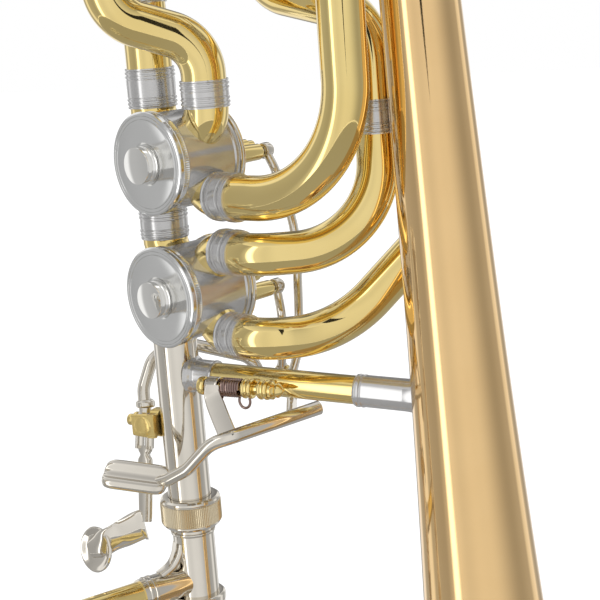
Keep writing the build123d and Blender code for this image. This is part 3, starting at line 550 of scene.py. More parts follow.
def valve(number):
    middle = in_valve(number, 0, 0, 0)
    casing = Skin(SATIN)
    casing.hollow(middle, FRONT, [(-11.0, 16.05), (-11.0, 17.9), (-9.2, 17.9), (-8.9, CASING_R),
        (12.0, CASING_R), (12.6, CASING_R - 0.2), (12.6, 16.05)], 0.25, 128)
    casing.made(f"valve_{number}_shell", FIXED, f"valve_{number}_casing")
    face = CAP_FACE
    outline = [(14.6, 3.0), (14.6, 14.5), (12.6, 14.5), (12.6, 17.7), (12.9, 18.0), (14.9, 18.0),
        (15.1, 17.7), (15.35, 17.7), (15.55, 18.1), (16.9, 18.2), (17.25, 18.0), (face, 17.5), (face, 16.95),
        (face - 0.22, 16.8), (face, 16.65), (face, 15.75), (face - 0.22, 15.6), (face, 15.45), (face, 15.0),
        (face - 0.08, 14.8), (face, 7.6), (face - 0.3, 7.0), (face - 0.3, 3.0)]
    cap = Skin(CAP)
    cap.turned(middle, FRONT, outline, 576, joined=True, teeth=144, depth=0.28, span=(12.8, 15.0))
    cap.made(f"valve_{number}_front_cap", FIXED, f"valve_{number}_cap", crease=24)
    elbows = Skin(YELLOW)
    run_z = F_PORT if number == 1 else PORT
    ports = [(-ROTOR_OFFSET, 1, False, TUBE_R, TUBE_BORE), (-ROTOR_OFFSET, -1, False, TUBE_R, TUBE_BORE)]
    if number == 1:
        ports += [(ROTOR_OFFSET, 1, False, F_R, F_BORE), (ROTOR_OFFSET, -1, True, F_R, F_BORE)]
    else:
        ports += [(ROTOR_OFFSET, 1, True, G_R, G_BORE), (ROTOR_OFFSET, -1, True, G_R, G_BORE)]
    for side, up, along, radius, bore in ports:
        corner = in_valve(number, side, 0, up * (run_z if along else ROTOR_OFFSET))
        inward = (middle - corner).normalized()
        outward = SIDE if along else UP * up
        line = route([corner + inward * 7.5, corner, corner + outward * 7.0], [9.0], 3.0)
        elbows.pipe(line, radius, bore, 72)
    elbows.made(f"valve_{number}_elbows", FIXED, f"valve_{number}_knuckles")
    arm(number)


def arm(number):
    """Stop arm in cast brass, its crank pin and the screw that holds it."""
    middle = in_valve(number, 0, 0, 0)
    angle = math.radians(CRANK_REST[number])
    outward = SIDE * math.cos(angle) + UP * math.sin(angle)
    crank = CRANK[number]
    skin = Skin(YELLOW, NICKEL)
    skin.shape(middle, FRONT, [(-33.5, 0), (-33.5, 2.1), (-30.4, 2.2), (-30.2, 2.9), (-21.0, 3.0),
        (-20.8, 4.4), (-19.6, 5.1), (-14.7, 5.2), (-14.7, 0)], 0.4, 64)
    web = [middle + FRONT * -18.1 + outward * step for step in (0.0, crank * 0.5, crank)]
    skin.swept(web, pad(5.4, 2.8, 0.9), hint=outward.cross(FRONT), scale=[(1.25, 1), (1.0, 1), (0.95, 1)])
    boss = middle + outward * crank
    skin.shape(boss, FRONT, [(-29.0, 0), (-29.0, 3.0), (-19.0, 3.2), (-16.2, 3.2), (-16.2, 0)], 0.4, 48)
    tail = [middle + FRONT * -18.1 - outward * step for step in (2.0, 8.0, 12.9)]
    skin.swept(tail, pad(4.4, 2.8, 0.9), hint=outward.cross(FRONT), scale=[(1.2, 1), (1.0, 1), (0.8, 1)])
    skin.shape(boss, FRONT, [(-35.2, 0), (-35.2, 1.9), (-34.9, 2.3), (-34.3, 2.3), (-34.2, 1.3),
        (-28.8, 1.3), (-28.8, 0)], 0.2, 40, finish=1)
    skin.made(f"valve_{number}_arm", f"rotor_{number}", f"valve_{number}_stop_arm")


def valve_backs():
    rear = Skin(NICKEL, YELLOW)
    bumpers = Skin(RUBBER, YELLOW)
    screws = Skin(PLATE)
    for number in VALVE_Z:
        middle = in_valve(number, 0, 0, 0)
        rear.hollow(middle, FRONT, [(-13.5, 4.2), (-13.5, 14.8), (-13.1, 15.1), (-13.1, 16.2), (-13.5, 16.5),
            (-13.5, 17.6), (-13.1, 18.3), (-12.6, 18.0), (-12.2, 18.3), (-11.0, 18.3), (-11.0, 4.2)], 0.2,
            128)
        for angle in (CRANK_REST[number] + 150, CRANK_REST[number] + 300):
            turn = math.radians(angle)
            post = middle + SIDE * (STOP_RADIUS * math.cos(turn)) + UP * (STOP_RADIUS * math.sin(turn))
            rear.shape(post, FRONT, [(-20.0, 0), (-20.0, 1.6), (-13.4, 1.6), (-13.4, 0)], 0.3, 32, finish=1)
            bumpers.hollow(post, FRONT, [(-18.6, 1.6), (-18.6, 2.55), (-16.2, 2.55), (-16.2, 1.6)], 0.3, 40)
            for low, high in ((-20.0, -18.6), (-16.2, -15.0)):
                washer = [(low, 1.6), (low, 2.6), (high, 2.6), (high, 1.6)]
                bumpers.hollow(post, FRONT, washer, 0.25, 40, finish=1)
        side = soften(knob_outline(KNOB_FACE), 0.22)
        screws.turned(middle, FRONT, [*side, *knob_dome(KNOB_FACE)], 96)
    rear.made("valve_back_caps", FIXED, "valve_rear_caps")
    bumpers.made("valve_stop_bumpers", FIXED, "stop_rubbers")
    screws.made("cap_oil_screws", FIXED, "oil_screws", crease=40)


# ---------------------------------------------------------------- valve loops
def tuning_u(name, leg_a, leg_b, base, crook_base, radius, bore):
    middle = (leg_a + leg_b) / 2
    half = (leg_b - leg_a).length / 2
    crook = Skin(YELLOW)
    crook.pipe(half_turn(leg_a + UP * crook_base, middle + UP * (crook_base + half), leg_b + UP * crook_base,
        48), radius, bore, 64)
    body = f"{name}_tuning_slide"
    crook.made(f"{name}_crook", body, f"{name}_slide_crook")
    legs = Skin(NICKEL, YELLOW)
    inner = radius - 0.1
    across = (leg_b - leg_a).normalized()
    for leg in (leg_a, leg_b):
        legs.pipe([leg + UP * base, leg + UP * (crook_base + 0.5)], inner, inner - 0.6, 64)
        legs.ferrule(leg, UP, crook_base - 3.0, crook_base + 7.0, radius + 0.5, radius - 0.2)
    low = UP * (crook_base - 8)
    start, end = leg_a + across * (radius - 0.3) + low, leg_b - across * (radius - 0.3) + low
    legs.rod(start, end, 2.5, finish=1)
    legs.rod(start, start + across * 7, 3.1, 0.8)
    legs.rod(end, end - across * 7, 3.1, 0.8)
    legs.ball((start + end) / 2, 3.6, squash=0.8, direction=across, finish=1)
    legs.made(f"{name}_inner_legs", body, f"{name}_slide_legs")


def leg_sleeve(skin, leg, low, high, radius, bore):
    outline = [(low, bore), (low, radius + 0.45), (low + 1.2, radius + 0.5), (low + 1.5, radius),
        (low + 2.7, radius), (low + 3.0, radius + 0.4), (low + 4.2, radius + 0.4), (low + 4.5, radius),
        (high - 3.4, radius), (high - 3.0, radius + 0.5), (high, radius + 0.5), (high, bore)]
    skin.hollow(leg, UP, outline, 0.25, 80)


def loops():
    f_low = in_valve(1, KNUCKLE_END, 0, -F_PORT)
    f_top = in_valve(1, ROTOR_OFFSET, 0, KNUCKLE_END)
    tube("f_loop_lower", FIXED, "f_loop_lower_tube", YELLOW, route([f_low, f_low + SIDE * 11,
        F_LEG + UP * f_low.z, F_LEG + UP * F_SLEEVE], [10.0, 40.0], 2.5), F_R, F_BORE, 80)
    tube("f_loop_upper", FIXED, "f_loop_upper_tube", YELLOW, route([f_top, f_top + UP * 23,
        F_LEG_2 + UP * 518.5, F_LEG_2 + UP * F_SLEEVE], [15.0, 15.0], 3.0), F_R, F_BORE, 80)
    g_up = in_valve(2, KNUCKLE_END, 0, PORT)
    g_low = in_valve(2, KNUCKLE_END, 0, -PORT)
    tube("g_loop_upper", FIXED, "g_loop_upper_tube", YELLOW, route([g_up, g_up + SIDE * 18,
        G_RISE + UP * g_up.z, G_RISE + UP * 513.0, G_LEG + UP * 524.0, G_LEG + UP * G_SLEEVE],
        [16.0, 30.0, 20.0, 20.0], 3.0), G_R, G_BORE, 80)
    tube("g_loop_lower", FIXED, "g_loop_lower_tube", YELLOW, route([g_low, g_low + SIDE * 18,
        place(-68, 6, 403.0), G_LEG_2 + UP * 438.9, G_LEG_2 + UP * G_SLEEVE], [13.0, 38.0, 30.0], 3.0), G_R,
        G_BORE, 80)
    rings = Skin(SATIN)
    rings.ferrule(f_low, SIDE, -0.5, 10.5, F_R + 0.6, F_R)
    rings.ferrule(f_top, UP, 1.0, 10.5, F_R + 0.6, F_R)
    rings.ferrule(g_up, SIDE, -0.5, 9.2, G_R + 0.6, G_R)
    rings.ferrule(g_low, SIDE, -0.5, 9.2, G_R + 0.6, G_R)
    rings.ferrule(G_RISE, UP, 473.5, 485.0, G_R + 0.6, G_R)
    for leg in (F_LEG, F_LEG_2):
        leg_sleeve(rings, leg, F_SLEEVE, F_SLEEVE + 95, F_R + 0.6, F_R - 0.05)
    for leg in (G_LEG, G_LEG_2):
        leg_sleeve(rings, leg, G_SLEEVE, G_SLEEVE + 75, G_R + 0.6, G_R - 0.05)
    rings.made("loop_end_ferrules", FIXED, "loop_ferrules")
    tuning_u("f", F_LEG_2, F_LEG, F_SLEEVE + 3, F_SLEEVE + 108, F_R, F_BORE)
    tuning_u("g", G_LEG, G_LEG_2, G_SLEEVE + 3, G_SLEEVE + 88, G_R, G_BORE)


# ---------------------------------------------------------------- braces
def stay(skin, start, end, radius, foot, foot_length=7.0):
    """A round stay with a flared foot at each end; the feet are nickel, the bar brass."""
    along = (end - start).normalized()
    length = (end - start).length
    skin.rod(start - along * 0.4, end + along * 0.4, radius, finish=1)
    for origin, way in ((start, along), (end, along * -1)):
        outline = [(-0.4, 0), (-0.4, foot + 1.2), (0.5, foot + 0.9), (1.4, foot + 0.1), (2.2, foot),
            (foot_length - 1, foot), (foot_length, radius + 0.1), (foot_length, 0)]
        skin.shape(origin, way, outline, 0.3, 48)
    return length


def braces():
    start = MAIN + UP * 386.0
    tube("bell_brace_tube", FIXED, "bell_brace", YELLOW, [start + BRACE_DIR * 16, start + BRACE_DIR * 75],
        5.1, 4.4, 64)
    ends = Skin(SATIN)
    ends.shape(start, BRACE_DIR, [(6.2, 0), (6.2, 7.6), (7.6, 7.0), (8.6, 6.1), (9.6, 5.8), (15.6, 5.7),
        (16.2, 5.95), (17.0, 5.9), (17.0, 0)], 0.3, 72)
    ends.shape(start, BRACE_DIR, [(74.0, 0), (74.0, 5.75), (75.0, 5.95), (75.5, 5.6), (76.2, 5.6),
        (76.7, 5.95), (77.2, 5.65), (93.0, 5.7), (97.0, 6.0), (97.0, 0)], 0.2, 72)
    ends.made("bell_brace_ends", FIXED, "bell_brace_sleeves")
    stays = Skin(NICKEL, YELLOW)
    leg_at = (MAIN + UP * BEND_Z).dot(BELL_SIDE)
    high = BELL_UP * 570.0
    stay(stays, high + BELL_SIDE * (leg_at + 10.2), high - BELL_SIDE * 12.4, 3.4, 4.0)
    for leg_a, leg_b, mid, r in ((F_LEG_2, F_LEG, F_SLEEVE + 40, F_R), (G_LEG, G_LEG_2, G_SLEEVE + 30, G_R)):
        across = (leg_b - leg_a).normalized()
        stay(stays, leg_a + UP * mid + across * (r + 0.6), leg_b + UP * mid - across * (r + 0.6), 2.7, 3.2)
    stays.made("tube_stays", FIXED, "tube_braces")


# ---------------------------------------------------------------- levers, hinges and links
def coil(skin, start, along, length, radius, wire, turns, finish=0):
    """A close-wound helical spring."""
    across = square_to(along)
    other = along.cross(across)
    count = turns * 20
    line = []
    for k in range(count + 1):
        angle = 2 * math.pi * k / 20
        spoke = across * math.cos(angle) + other * math.sin(angle)
        line.append(start + along * (wire + (length - 2 * wire) * k / count) + spoke * radius)
    skin.swept(line, circle(wire, 10), finish=finish)


def hinges():
    """The hinge pins, their brass blocks and the springs wound on them."""
    pins = Skin(YELLOW, NICKEL)
    pins.rod(HINGE_1 + X_DIR * -3, HINGE_1 + X_DIR * 26, 1.5)
    pins.shape(HINGE_1, X_DIR, [(-5.5, 0), (-5.5, 2.2), (-5.1, 3.1), (-4.1, 3.4), (-2.9, 3.4), (-2.3, 2.9),
        (-2.2, 0)], 0.3, 48)
    pins.turned(HINGE_1, X_DIR, [(23.6, 1.5), (23.6, 3.0), (24.0, 3.3), (25.0, 3.3), (25.4, 2.6),
        (25.8, 2.2), (26.3, 2.5), (27.0, 2.6), (27.7, 2.2), (28.4, 1.5), (29.0, 0.9), (29.4, 0)], 48)
    pins.rod(HINGE_2 + X_DIR * -8, HINGE_2 + X_DIR * 4.4, 1.5)
    pins.shape(HINGE_2, X_DIR, [(-8.6, 0), (-8.6, 2.6), (-8.2, 3.2), (-6.8, 3.2), (-6.4, 2.8), (-6.3, 0)],
        0.25, 48)
    pins.shape(HINGE_2, X_DIR, [(-11.4, 0), (-11.4, 1.6), (-10.9, 2.2), (-9.4, 2.2), (-8.5, 1.6), (-8.5, 0)],
        0.2, 40)
    pins.made("hinge_pins_brass", FIXED, "hinge_pins")
    blocks = Skin(YELLOW, BLOCK)
    for along in (13.0, 19.5):
        blocks.hollow(HINGE_1 + X_DIR * along, X_DIR, [(0, 1.55), (0, 3.3), (0.6, 3.6), (1.2, 3.6),
            (1.5, 3.1), (2.5, 3.1), (2.8, 3.6), (3.4, 3.6), (4, 3.3), (4, 1.55)], 0.25, 48)
        middle_x = HINGE_1.x + along + 2
        line = smooth_curve([place(middle_x, -9.6, 385.0), place(middle_x, -6.6, 385.4),
            place(middle_x, -4.6, 385.2)], 6)
        blocks.swept(line, pad(3.4, 3.8, 1.1), hint=X_DIR,
            scale=[(1.0 + 0.35 * (k / 12) ** 2, 1.0) for k in range(13)])
    blocks.swept([HINGE_2 + X_DIR * step for step in (0.7, 2.0, 4.4)], pad(10.5, 7.6, 2.4), hint=UP,
        finish=1)
    blocks.swept([HINGE_2 + place(2.6, step, 0) for step in (-6.9, -5.0, -2.0)], pad(3.6, 9.0, 1.0),
        hint=X_DIR, finish=1)
    strap = [HINGE_2 + place(4.3, -5.8, 0), HINGE_2 + place(0.0, -5.8, 0), HINGE_2 + place(-5.4, -5.8, 0)]
    blocks.swept(strap, pad(9.2, 2.3, 1.1), hint=UP, scale=[(1.0, 1), (1.0, 1), (0.9, 1)], finish=1)
    blocks.shape(HINGE_2 + place(-0.6, -6.3, 0), place(0, -1, 0), [(-0.6, 0), (-0.6, 3.9), (0.7, 3.9),
        (1.1, 3.2), (1.3, 1.8), (1.35, 0)], 0.3, 48, finish=1)
    blocks.made("hinge_blocks_brass", FIXED, "lever_mounts")
    springs = Skin(SPRING)
    coil(springs, HINGE_1 + X_DIR * 3.9, X_DIR, 8.6, 3.05, 0.5, 8)
    tail = [HINGE_1 + place(4.4, -0.4, -3.0), HINGE_1 + place(5.0, -3.6, -4.8),
        HINGE_1 + place(5.6, -5.6, -7.6)]
    springs.swept(smooth_curve(tail, 6), circle(0.42, 10))
    ring = [HINGE_1 + place(14.9 + 2.2 * math.cos(a), -3.4,
        -3.6 + 2.6 * math.sin(a)) for a in [math.pi * (0.85 + 1.3 * k / 14) for k in range(15)]]
    springs.swept(ring, circle(0.5, 10))
    springs.hollow(HINGE_2 + X_DIR * -0.8, X_DIR, [(0, 1.6), (0, 3.1), (1.2, 3.1), (1.2, 1.6)], 0.3, 40)
    springs.made("lever_spring_coils", FIXED, "lever_springs")


def flat_bar(skin, line, width, thickness, hint, scale=None, finish=0, corner=0.5):
    skin.swept(line, pad(width, thickness, corner), hint=hint, scale=scale, finish=finish)


def across_view(start, end):
    """The width direction of a flat bar whose broad side looks toward the front and left."""
    along = (end - start).normalized()
    normal = place(0.46, -0.86, 0.21)
    normal = (normal - along * normal.dot(along)).normalized()
    return along.cross(normal)


def thumb_lever():
    right, knee = place(-80.1, 8, 373.7), place(-99.1, -24.5, 371.1)
    line = route([right, knee, place(-105.7, -27.5, 369.0), place(-115.1, -29, 359.4),
        place(-123.6, -29.5, 354.8), place(-134.6, -29, 351.2)], [9.0, 12.0, 12.0, 14.0], 3.0)
    skin = Skin(NICKEL, YELLOW)
    sizes = []
    for point in line:
        sizes.append(2.3 + 0.33 * min(1.0, max(0.0, (point.x + 108) / 12)))
    skin.swept(line, circle(1.0, 40), scale=sizes)
    end_way = (right - knee).normalized()
    skin.shape(right, end_way, [(-1.2, 0), (-1.2, 2.64), (-0.4, 2.64), (0.0, 2.2), (0.0, 0)], 0.3, 40)
    skin.shape(right, end_way, [(-0.2, 0), (-0.2, 1.3), (0.5, 1.1), (0.5, 0)], 0.2, 32, finish=1)
    skin.hollow(HINGE_1, X_DIR, [(-1.6, 1.55), (-1.6, 3.5), (-1.0, 3.6), (2.8, 3.6), (3.4, 3.4),
        (3.4, 1.55)], 0.25, 48)
    plate_top, plate_foot = HINGE_1 + place(1.9, -3.1, 1.4), place(-100.6, -23.6, 371.9)
    bend = (HINGE_1 + place(2.4, -4.6, -3.0)).lerp(plate_foot, 0.3)
    plate = smooth_curve([plate_top, HINGE_1 + place(2.1, -4.2, -1.6), bend, plate_foot], 8)
    flat_bar(skin, plate, 6.6, 1.7, hint=across_view(plate_top, plate_foot),
        scale=[(0.74 + 0.26 * min(1.0, k / 14), 1.0) for k in range(25)])
    pad_joint = [(-2.0, 0), (-2.0, 2.4), (1.0, 2.4), (1.0, 0)]
    skin.shape(place(-134.6, -29, 351.2), place(-0.95, 0.05, -0.31).normalized(), pad_joint, 0.4, 40)
    reach = route([place(-87.7, -5, 372.7), place(-92, 8, 369.6), FOOT_1, FOOT_1 + UP * 4.0], [14.0, 3.0],
        6.0)
    skin.swept(reach, circle(2.0, 28))
    skin.ball(FOOT_1 + UP * 4.0, 2.4, squash=0.7)
    skin.made("thumb_lever_bar", "lever_1_body", "lever_1", crease=40)
    touch = Skin(NICKEL)
    along = place(0.968, 0.219, -0.118).normalized()
    lift = place(0.21, -0.53, 0.74).normalized()
    lift = (lift - along * lift.dot(along)).normalized()
    wide = lift.cross(along)
    middle = place(-135.6, -31.6, 355.4)
    rings = []
    for k in range(41):
        t = -1 + 2 * k / 40
        fade = (1 - abs(t) ** 9) ** 0.5 if abs(t) < 1 else 0.02
        ring = []
        for a, b in touch_section():
            grow = 0.3 + 0.7 * fade
            ring.append(middle + along * (12.3 * t) + wide * (a * grow) + lift * (b * grow))
        rings.append(ring)
    touch.loft(rings, capped=True)
    touch.shape(middle - lift * 1.0 + along * 3.0, lift * -1, [(0, 0), (0, 4.6), (1.2, 4.0), (2.6, 3.0),
        (4.2, 1.8), (4.2, 0)], 0.5, 40)
    touch.made("thumb_lever_touch", "lever_1_body", "lever_1_touch", crease=50)


def touch_section():
    """Across the thumb piece: two soft ridges with a hollow between, and a thin curled underside."""
    top = [(-6.0, 0.0), (-5.6, 1.5), (-4.4, 2.3), (-3.0, 2.1), (-1.6, 1.3), (0.0, 1.0), (1.6, 1.3),
        (3.0, 2.1), (4.4, 2.3), (5.6, 1.5), (6.0, 0.0)]
    under = [(5.4, -1.0), (4.2, -0.6), (2.6, -0.6), (0.0, -1.0), (-2.6, -0.6), (-4.2, -0.6), (-5.4, -1.0)]
    curve = smooth_curve([Vector(pair) for pair in [*top, *under, top[0]]], 3)
    return [(p.x, p.y) for p in curve[:-1]]


def finger_lever():
    skin = Skin(NICKEL, YELLOW)
    start = HINGE_2 + X_DIR * -3.5
    upper = route([start + UP * 1.5, place(-151.8, 2, 378), place(-150.5, 9, 389.5), place(-142, 21, 391.5),
        place(-116, 24, 386.5), place(-113.5, 29, 374), FOOT_2, FOOT_2 + UP * 4.0],
        [9.0, 9.0, 9.0, 6.0, 4.0, 1.5], 6.0)
    skin.swept(upper, circle(2.4, 36))
    skin.ball(FOOT_2 + UP * 4.0, 2.4, squash=0.7)
    for low, high in ((-6.0, -4.6), (-2.4, -1.0)):
        skin.hollow(HINGE_2, X_DIR, [(low, 1.55), (low, 3.6), (high, 3.6), (high, 1.55)], 0.35, 48)
    skin.hollow(HINGE_2, X_DIR, [(-4.8, 1.6), (-4.8, 3.2), (-2.2, 3.2), (-2.2, 1.6)], 0.2, 48)
    collar = place(-150.8, 1.1, 372.6)
    skin.shape(collar, place(-0.04, 0.16, 1).normalized(), [(-1.5, 0), (-1.5, 3.4), (-0.9, 3.7), (0.5, 3.7),
        (1.1, 3.1), (1.5, 2.6), (1.5, 0)], 0.3, 48)
    for across in (-2.6, 1.8):
        ear = [start + place(across, -0.4, -2.0), start + place(across, -1.4, -6.0),
            start + place(across, -2.4, -10.4)]
        flat_bar(skin, smooth_curve(ear, 6), 5.2, 1.3, hint=place(0, 1, 0))
    stem = smooth_curve([start + place(0, -2.2, -9.4), place(-150.4, -3.1, 353.4),
        place(-150.2, -3.9, 350.0), place(-149.4, -6.8, 340.0), place(-149.0, -8.8, 331.6),
        place(-148.9, -9.4, 328.8)], 8)
    sizes = []
    for k in range(len(stem)):
        t = k / (len(stem) - 1)
        narrow = 1.0 - 0.4 * math.exp(-((t - 0.2) / 0.07) ** 2) - 0.35 * max(0.0, t - 0.45)
        sizes.append((narrow, 1.0))
    flat_bar(skin, stem, 5.8, 2.4, hint=X_DIR, scale=sizes, corner=0.7)
    skin.made("finger_lever_bar", "lever_2_body", "lever_2", crease=40)
    spoon = Skin(NICKEL)
    centre = place(-168.4, -15.5, 317.6)
    facing = place(-0.244, -0.947, 0.207).normalized()
    line = smooth_curve([place(-149.3, -9.8, 327.4), place(-151.2, -10.4, 327.1),
        place(-158.4, -13.0, 323.4), centre + facing * 1.5 + place(4.0, 0.6, 2.6),
        centre + facing * 1.3 + place(-2.6, 0, -0.6)], 10)
    scale = []
    for k in range(len(line)):
        t = k / (len(line) - 1)
        scale.append((1.12 - 0.26 * t - 0.25 * max(0.0, t - 0.8) / 0.2, 1.0))
    spoon.swept(line, cupped(11.2, 1.3, 0.8), hint=place(0.35, 0.1, 0.93), scale=scale)
    dish(spoon, centre, facing)
    spoon.made("finger_lever_spoon", "lever_2_body", "lever_2_paddle", crease=50)


def cupped(width, thickness, sag):
    """A flat bar's section, hollowed across its width."""
    top, under = [], []
    for k in range(13):
        t = -1 + 2 * k / 12
        middle = sag * t * t
        edge = thickness / 2 * (1 - abs(t) ** 6) ** 0.5 + 0.02
        top.append((t * width / 2, middle + edge))
        under.append((t * width / 2, middle - edge))
    return top + under[::-1]


def dish(skin, centre, facing):
    """The spoon's round end, slightly hollow with a rolled edge."""
    outline = [(-1.3, 0), (-1.1, 3.8), (-0.8, 6.4), (-0.4, 7.9), (0.2, 8.7), (0.9, 8.85), (1.3, 8.5),
        (1.1, 7.8), (0.3, 6.8), (-0.2, 5.0), (-0.4, 2.6), (-0.5, 0)]
    skin.turned(centre, facing, outline, 64)


def link(number, foot):
    middle = in_valve(number, 0, 0, 0)
    angle = math.radians(CRANK_REST[number])
    pin = middle + SIDE * (CRANK[number] * math.cos(angle)) + UP * (CRANK[number] * math.sin(angle))
    head = pin + FRONT * LINK_BACK
    low = foot + UP * 7.6
    if number == 1:
        points = [low, place(-95.8, 26.5, 392.0), place(-94.6, 28.0, 436.0), head + SIDE * 4 - UP * 6, head]
        bends = [16.0, 60.0, 6.0]
    else:
        points = [low, head + SIDE * 2 - UP * 12, head]
        bends = [16.0]
    skin = Skin(NICKEL, YELLOW)
    line = route(points, bends, 4.0)
    line[0] = low + (line[1] - low).normalized() * 2.4
    line[-1] = head + (line[-2] - head).normalized() * 2.4
    skin.swept(line, circle(1.7, 28))
    axis = LINK_AXIS[number]
    for centre, way in ((head, FRONT), (low, axis)):
        skin.hollow(centre, way, [(-1.6, 1.35), (-1.6, 3.0), (1.6, 3.0), (1.6, 1.35)], 0.5, 44)
    skin.rod(low - axis * 2.4, low + axis * 2.4, 1.3, finish=1)
    skin.shape(low, axis, [(2.0, 0), (2.0, 2.1), (2.7, 2.1), (2.7, 0)], 0.25, 32, finish=1)
    skin.made(f"link_{number}_rod", f"link_{number}_body", f"link_{number}", crease=40)


# ---------------------------------------------------------------- hand slide
def hand_slide_neck():
    necks = Skin(NICKEL)
    necks.pipe([MAIN + UP * 298.0, MAIN + UP * 326.8], 7.95, 7.1, 80)
    necks.hollow(MAIN, UP, [(326.4, 7.2), (326.4, 9.6), (330.8, 9.65), (330.8, 8.45), (327.6, 8.45),
        (327.6, 7.2)], 0.2, 96)
    necks.hollow(MAIN, UP, [(323.2, 7.9), (323.2, 8.5), (324.4, 8.6), (324.4, 7.9)], 0.2, 80)
    necks.pipe([SLIDE_2 + UP * 298.0, SLIDE_2 + UP * 326.0], 7.95, 7.1, 80)
    necks.hollow(SLIDE_2, UP, [(322.0, 7.8), (322.0, 8.6), (326.0, 8.6), (326.0, 7.8)], 0.3, 80)
    middle = UP * INNER_BRACE_Z
    for line, way in ((MAIN, SLIDE_SIDE), (SLIDE_2, SLIDE_SIDE * -1)):
        outline = [(5.0, 0), (5.0, 5.9), (19.8, 5.9), (20.1, 6.2), (20.8, 6.2), (21.1, 5.8), (21.9, 5.8),
            (22.2, 6.2), (22.9, 6.2), (23.2, 5.85), (25.0, 5.8), (25.0, 0)]
        necks.turned(line + middle, way, outline, 72)
        web = smooth_curve([line + UP * 320.0 + way * 6.6, line + UP * 315.6 + way * 8.0,
            line + UP * 312.2 + way * 10.6, line + UP * 309.6 + way * 16.0], 6)
        necks.swept(web, pad(6.4, 2.8, 1.2), hint=SLIDE_FLAT,
            scale=[(1.0 - 0.25 * k / 18, 1) for k in range(19)])
    necks.made("slide_neck_joints", FIXED, "slide_necks")
    nut = Skin(KNURL, NICKEL)
    low, high, r = 326.2, 337.9, 11.6
    outline = [(high - 1.6, 9.72), (high - 1.6, 8.21), (high, 8.3), (high, 9.4), (high - 0.1, 10.4),
        (high - 0.7, 11.2), (high - 1.4, 11.45), (high - 1.9, 11.2), (high - 2.1, 11.2)]
    nut.turned(MAIN, UP, outline, 96, finish=1)
    band = [(high - 2.1, 11.2), (high - 2.3, r), (low + 1.9, r), (low + 1.7, 11.2)]
    nut.turned(MAIN, UP, band, 480, teeth=96, depth=0.3, span=(low + 1.8, high - 2.2))
    outline = [(low + 1.7, 11.2), (low + 1.3, 11.25), (low + 0.6, 10.7), (low, 10.0), (low, 9.72),
        (high - 1.6, 9.72)]
    nut.turned(MAIN, UP, outline, 96, finish=1)
    nut.made("slide_nut_knurled", "slide_nut_body", "slide_nut", crease=28)
    tube("inner_brace_tube", FIXED, "inner_brace", YELLOW, [MAIN + middle + SLIDE_SIDE * 24.6,
        MAIN + middle + SLIDE_SIDE * (SLIDE_SPACING - 24.6)], 5.1, 4.4, 64)


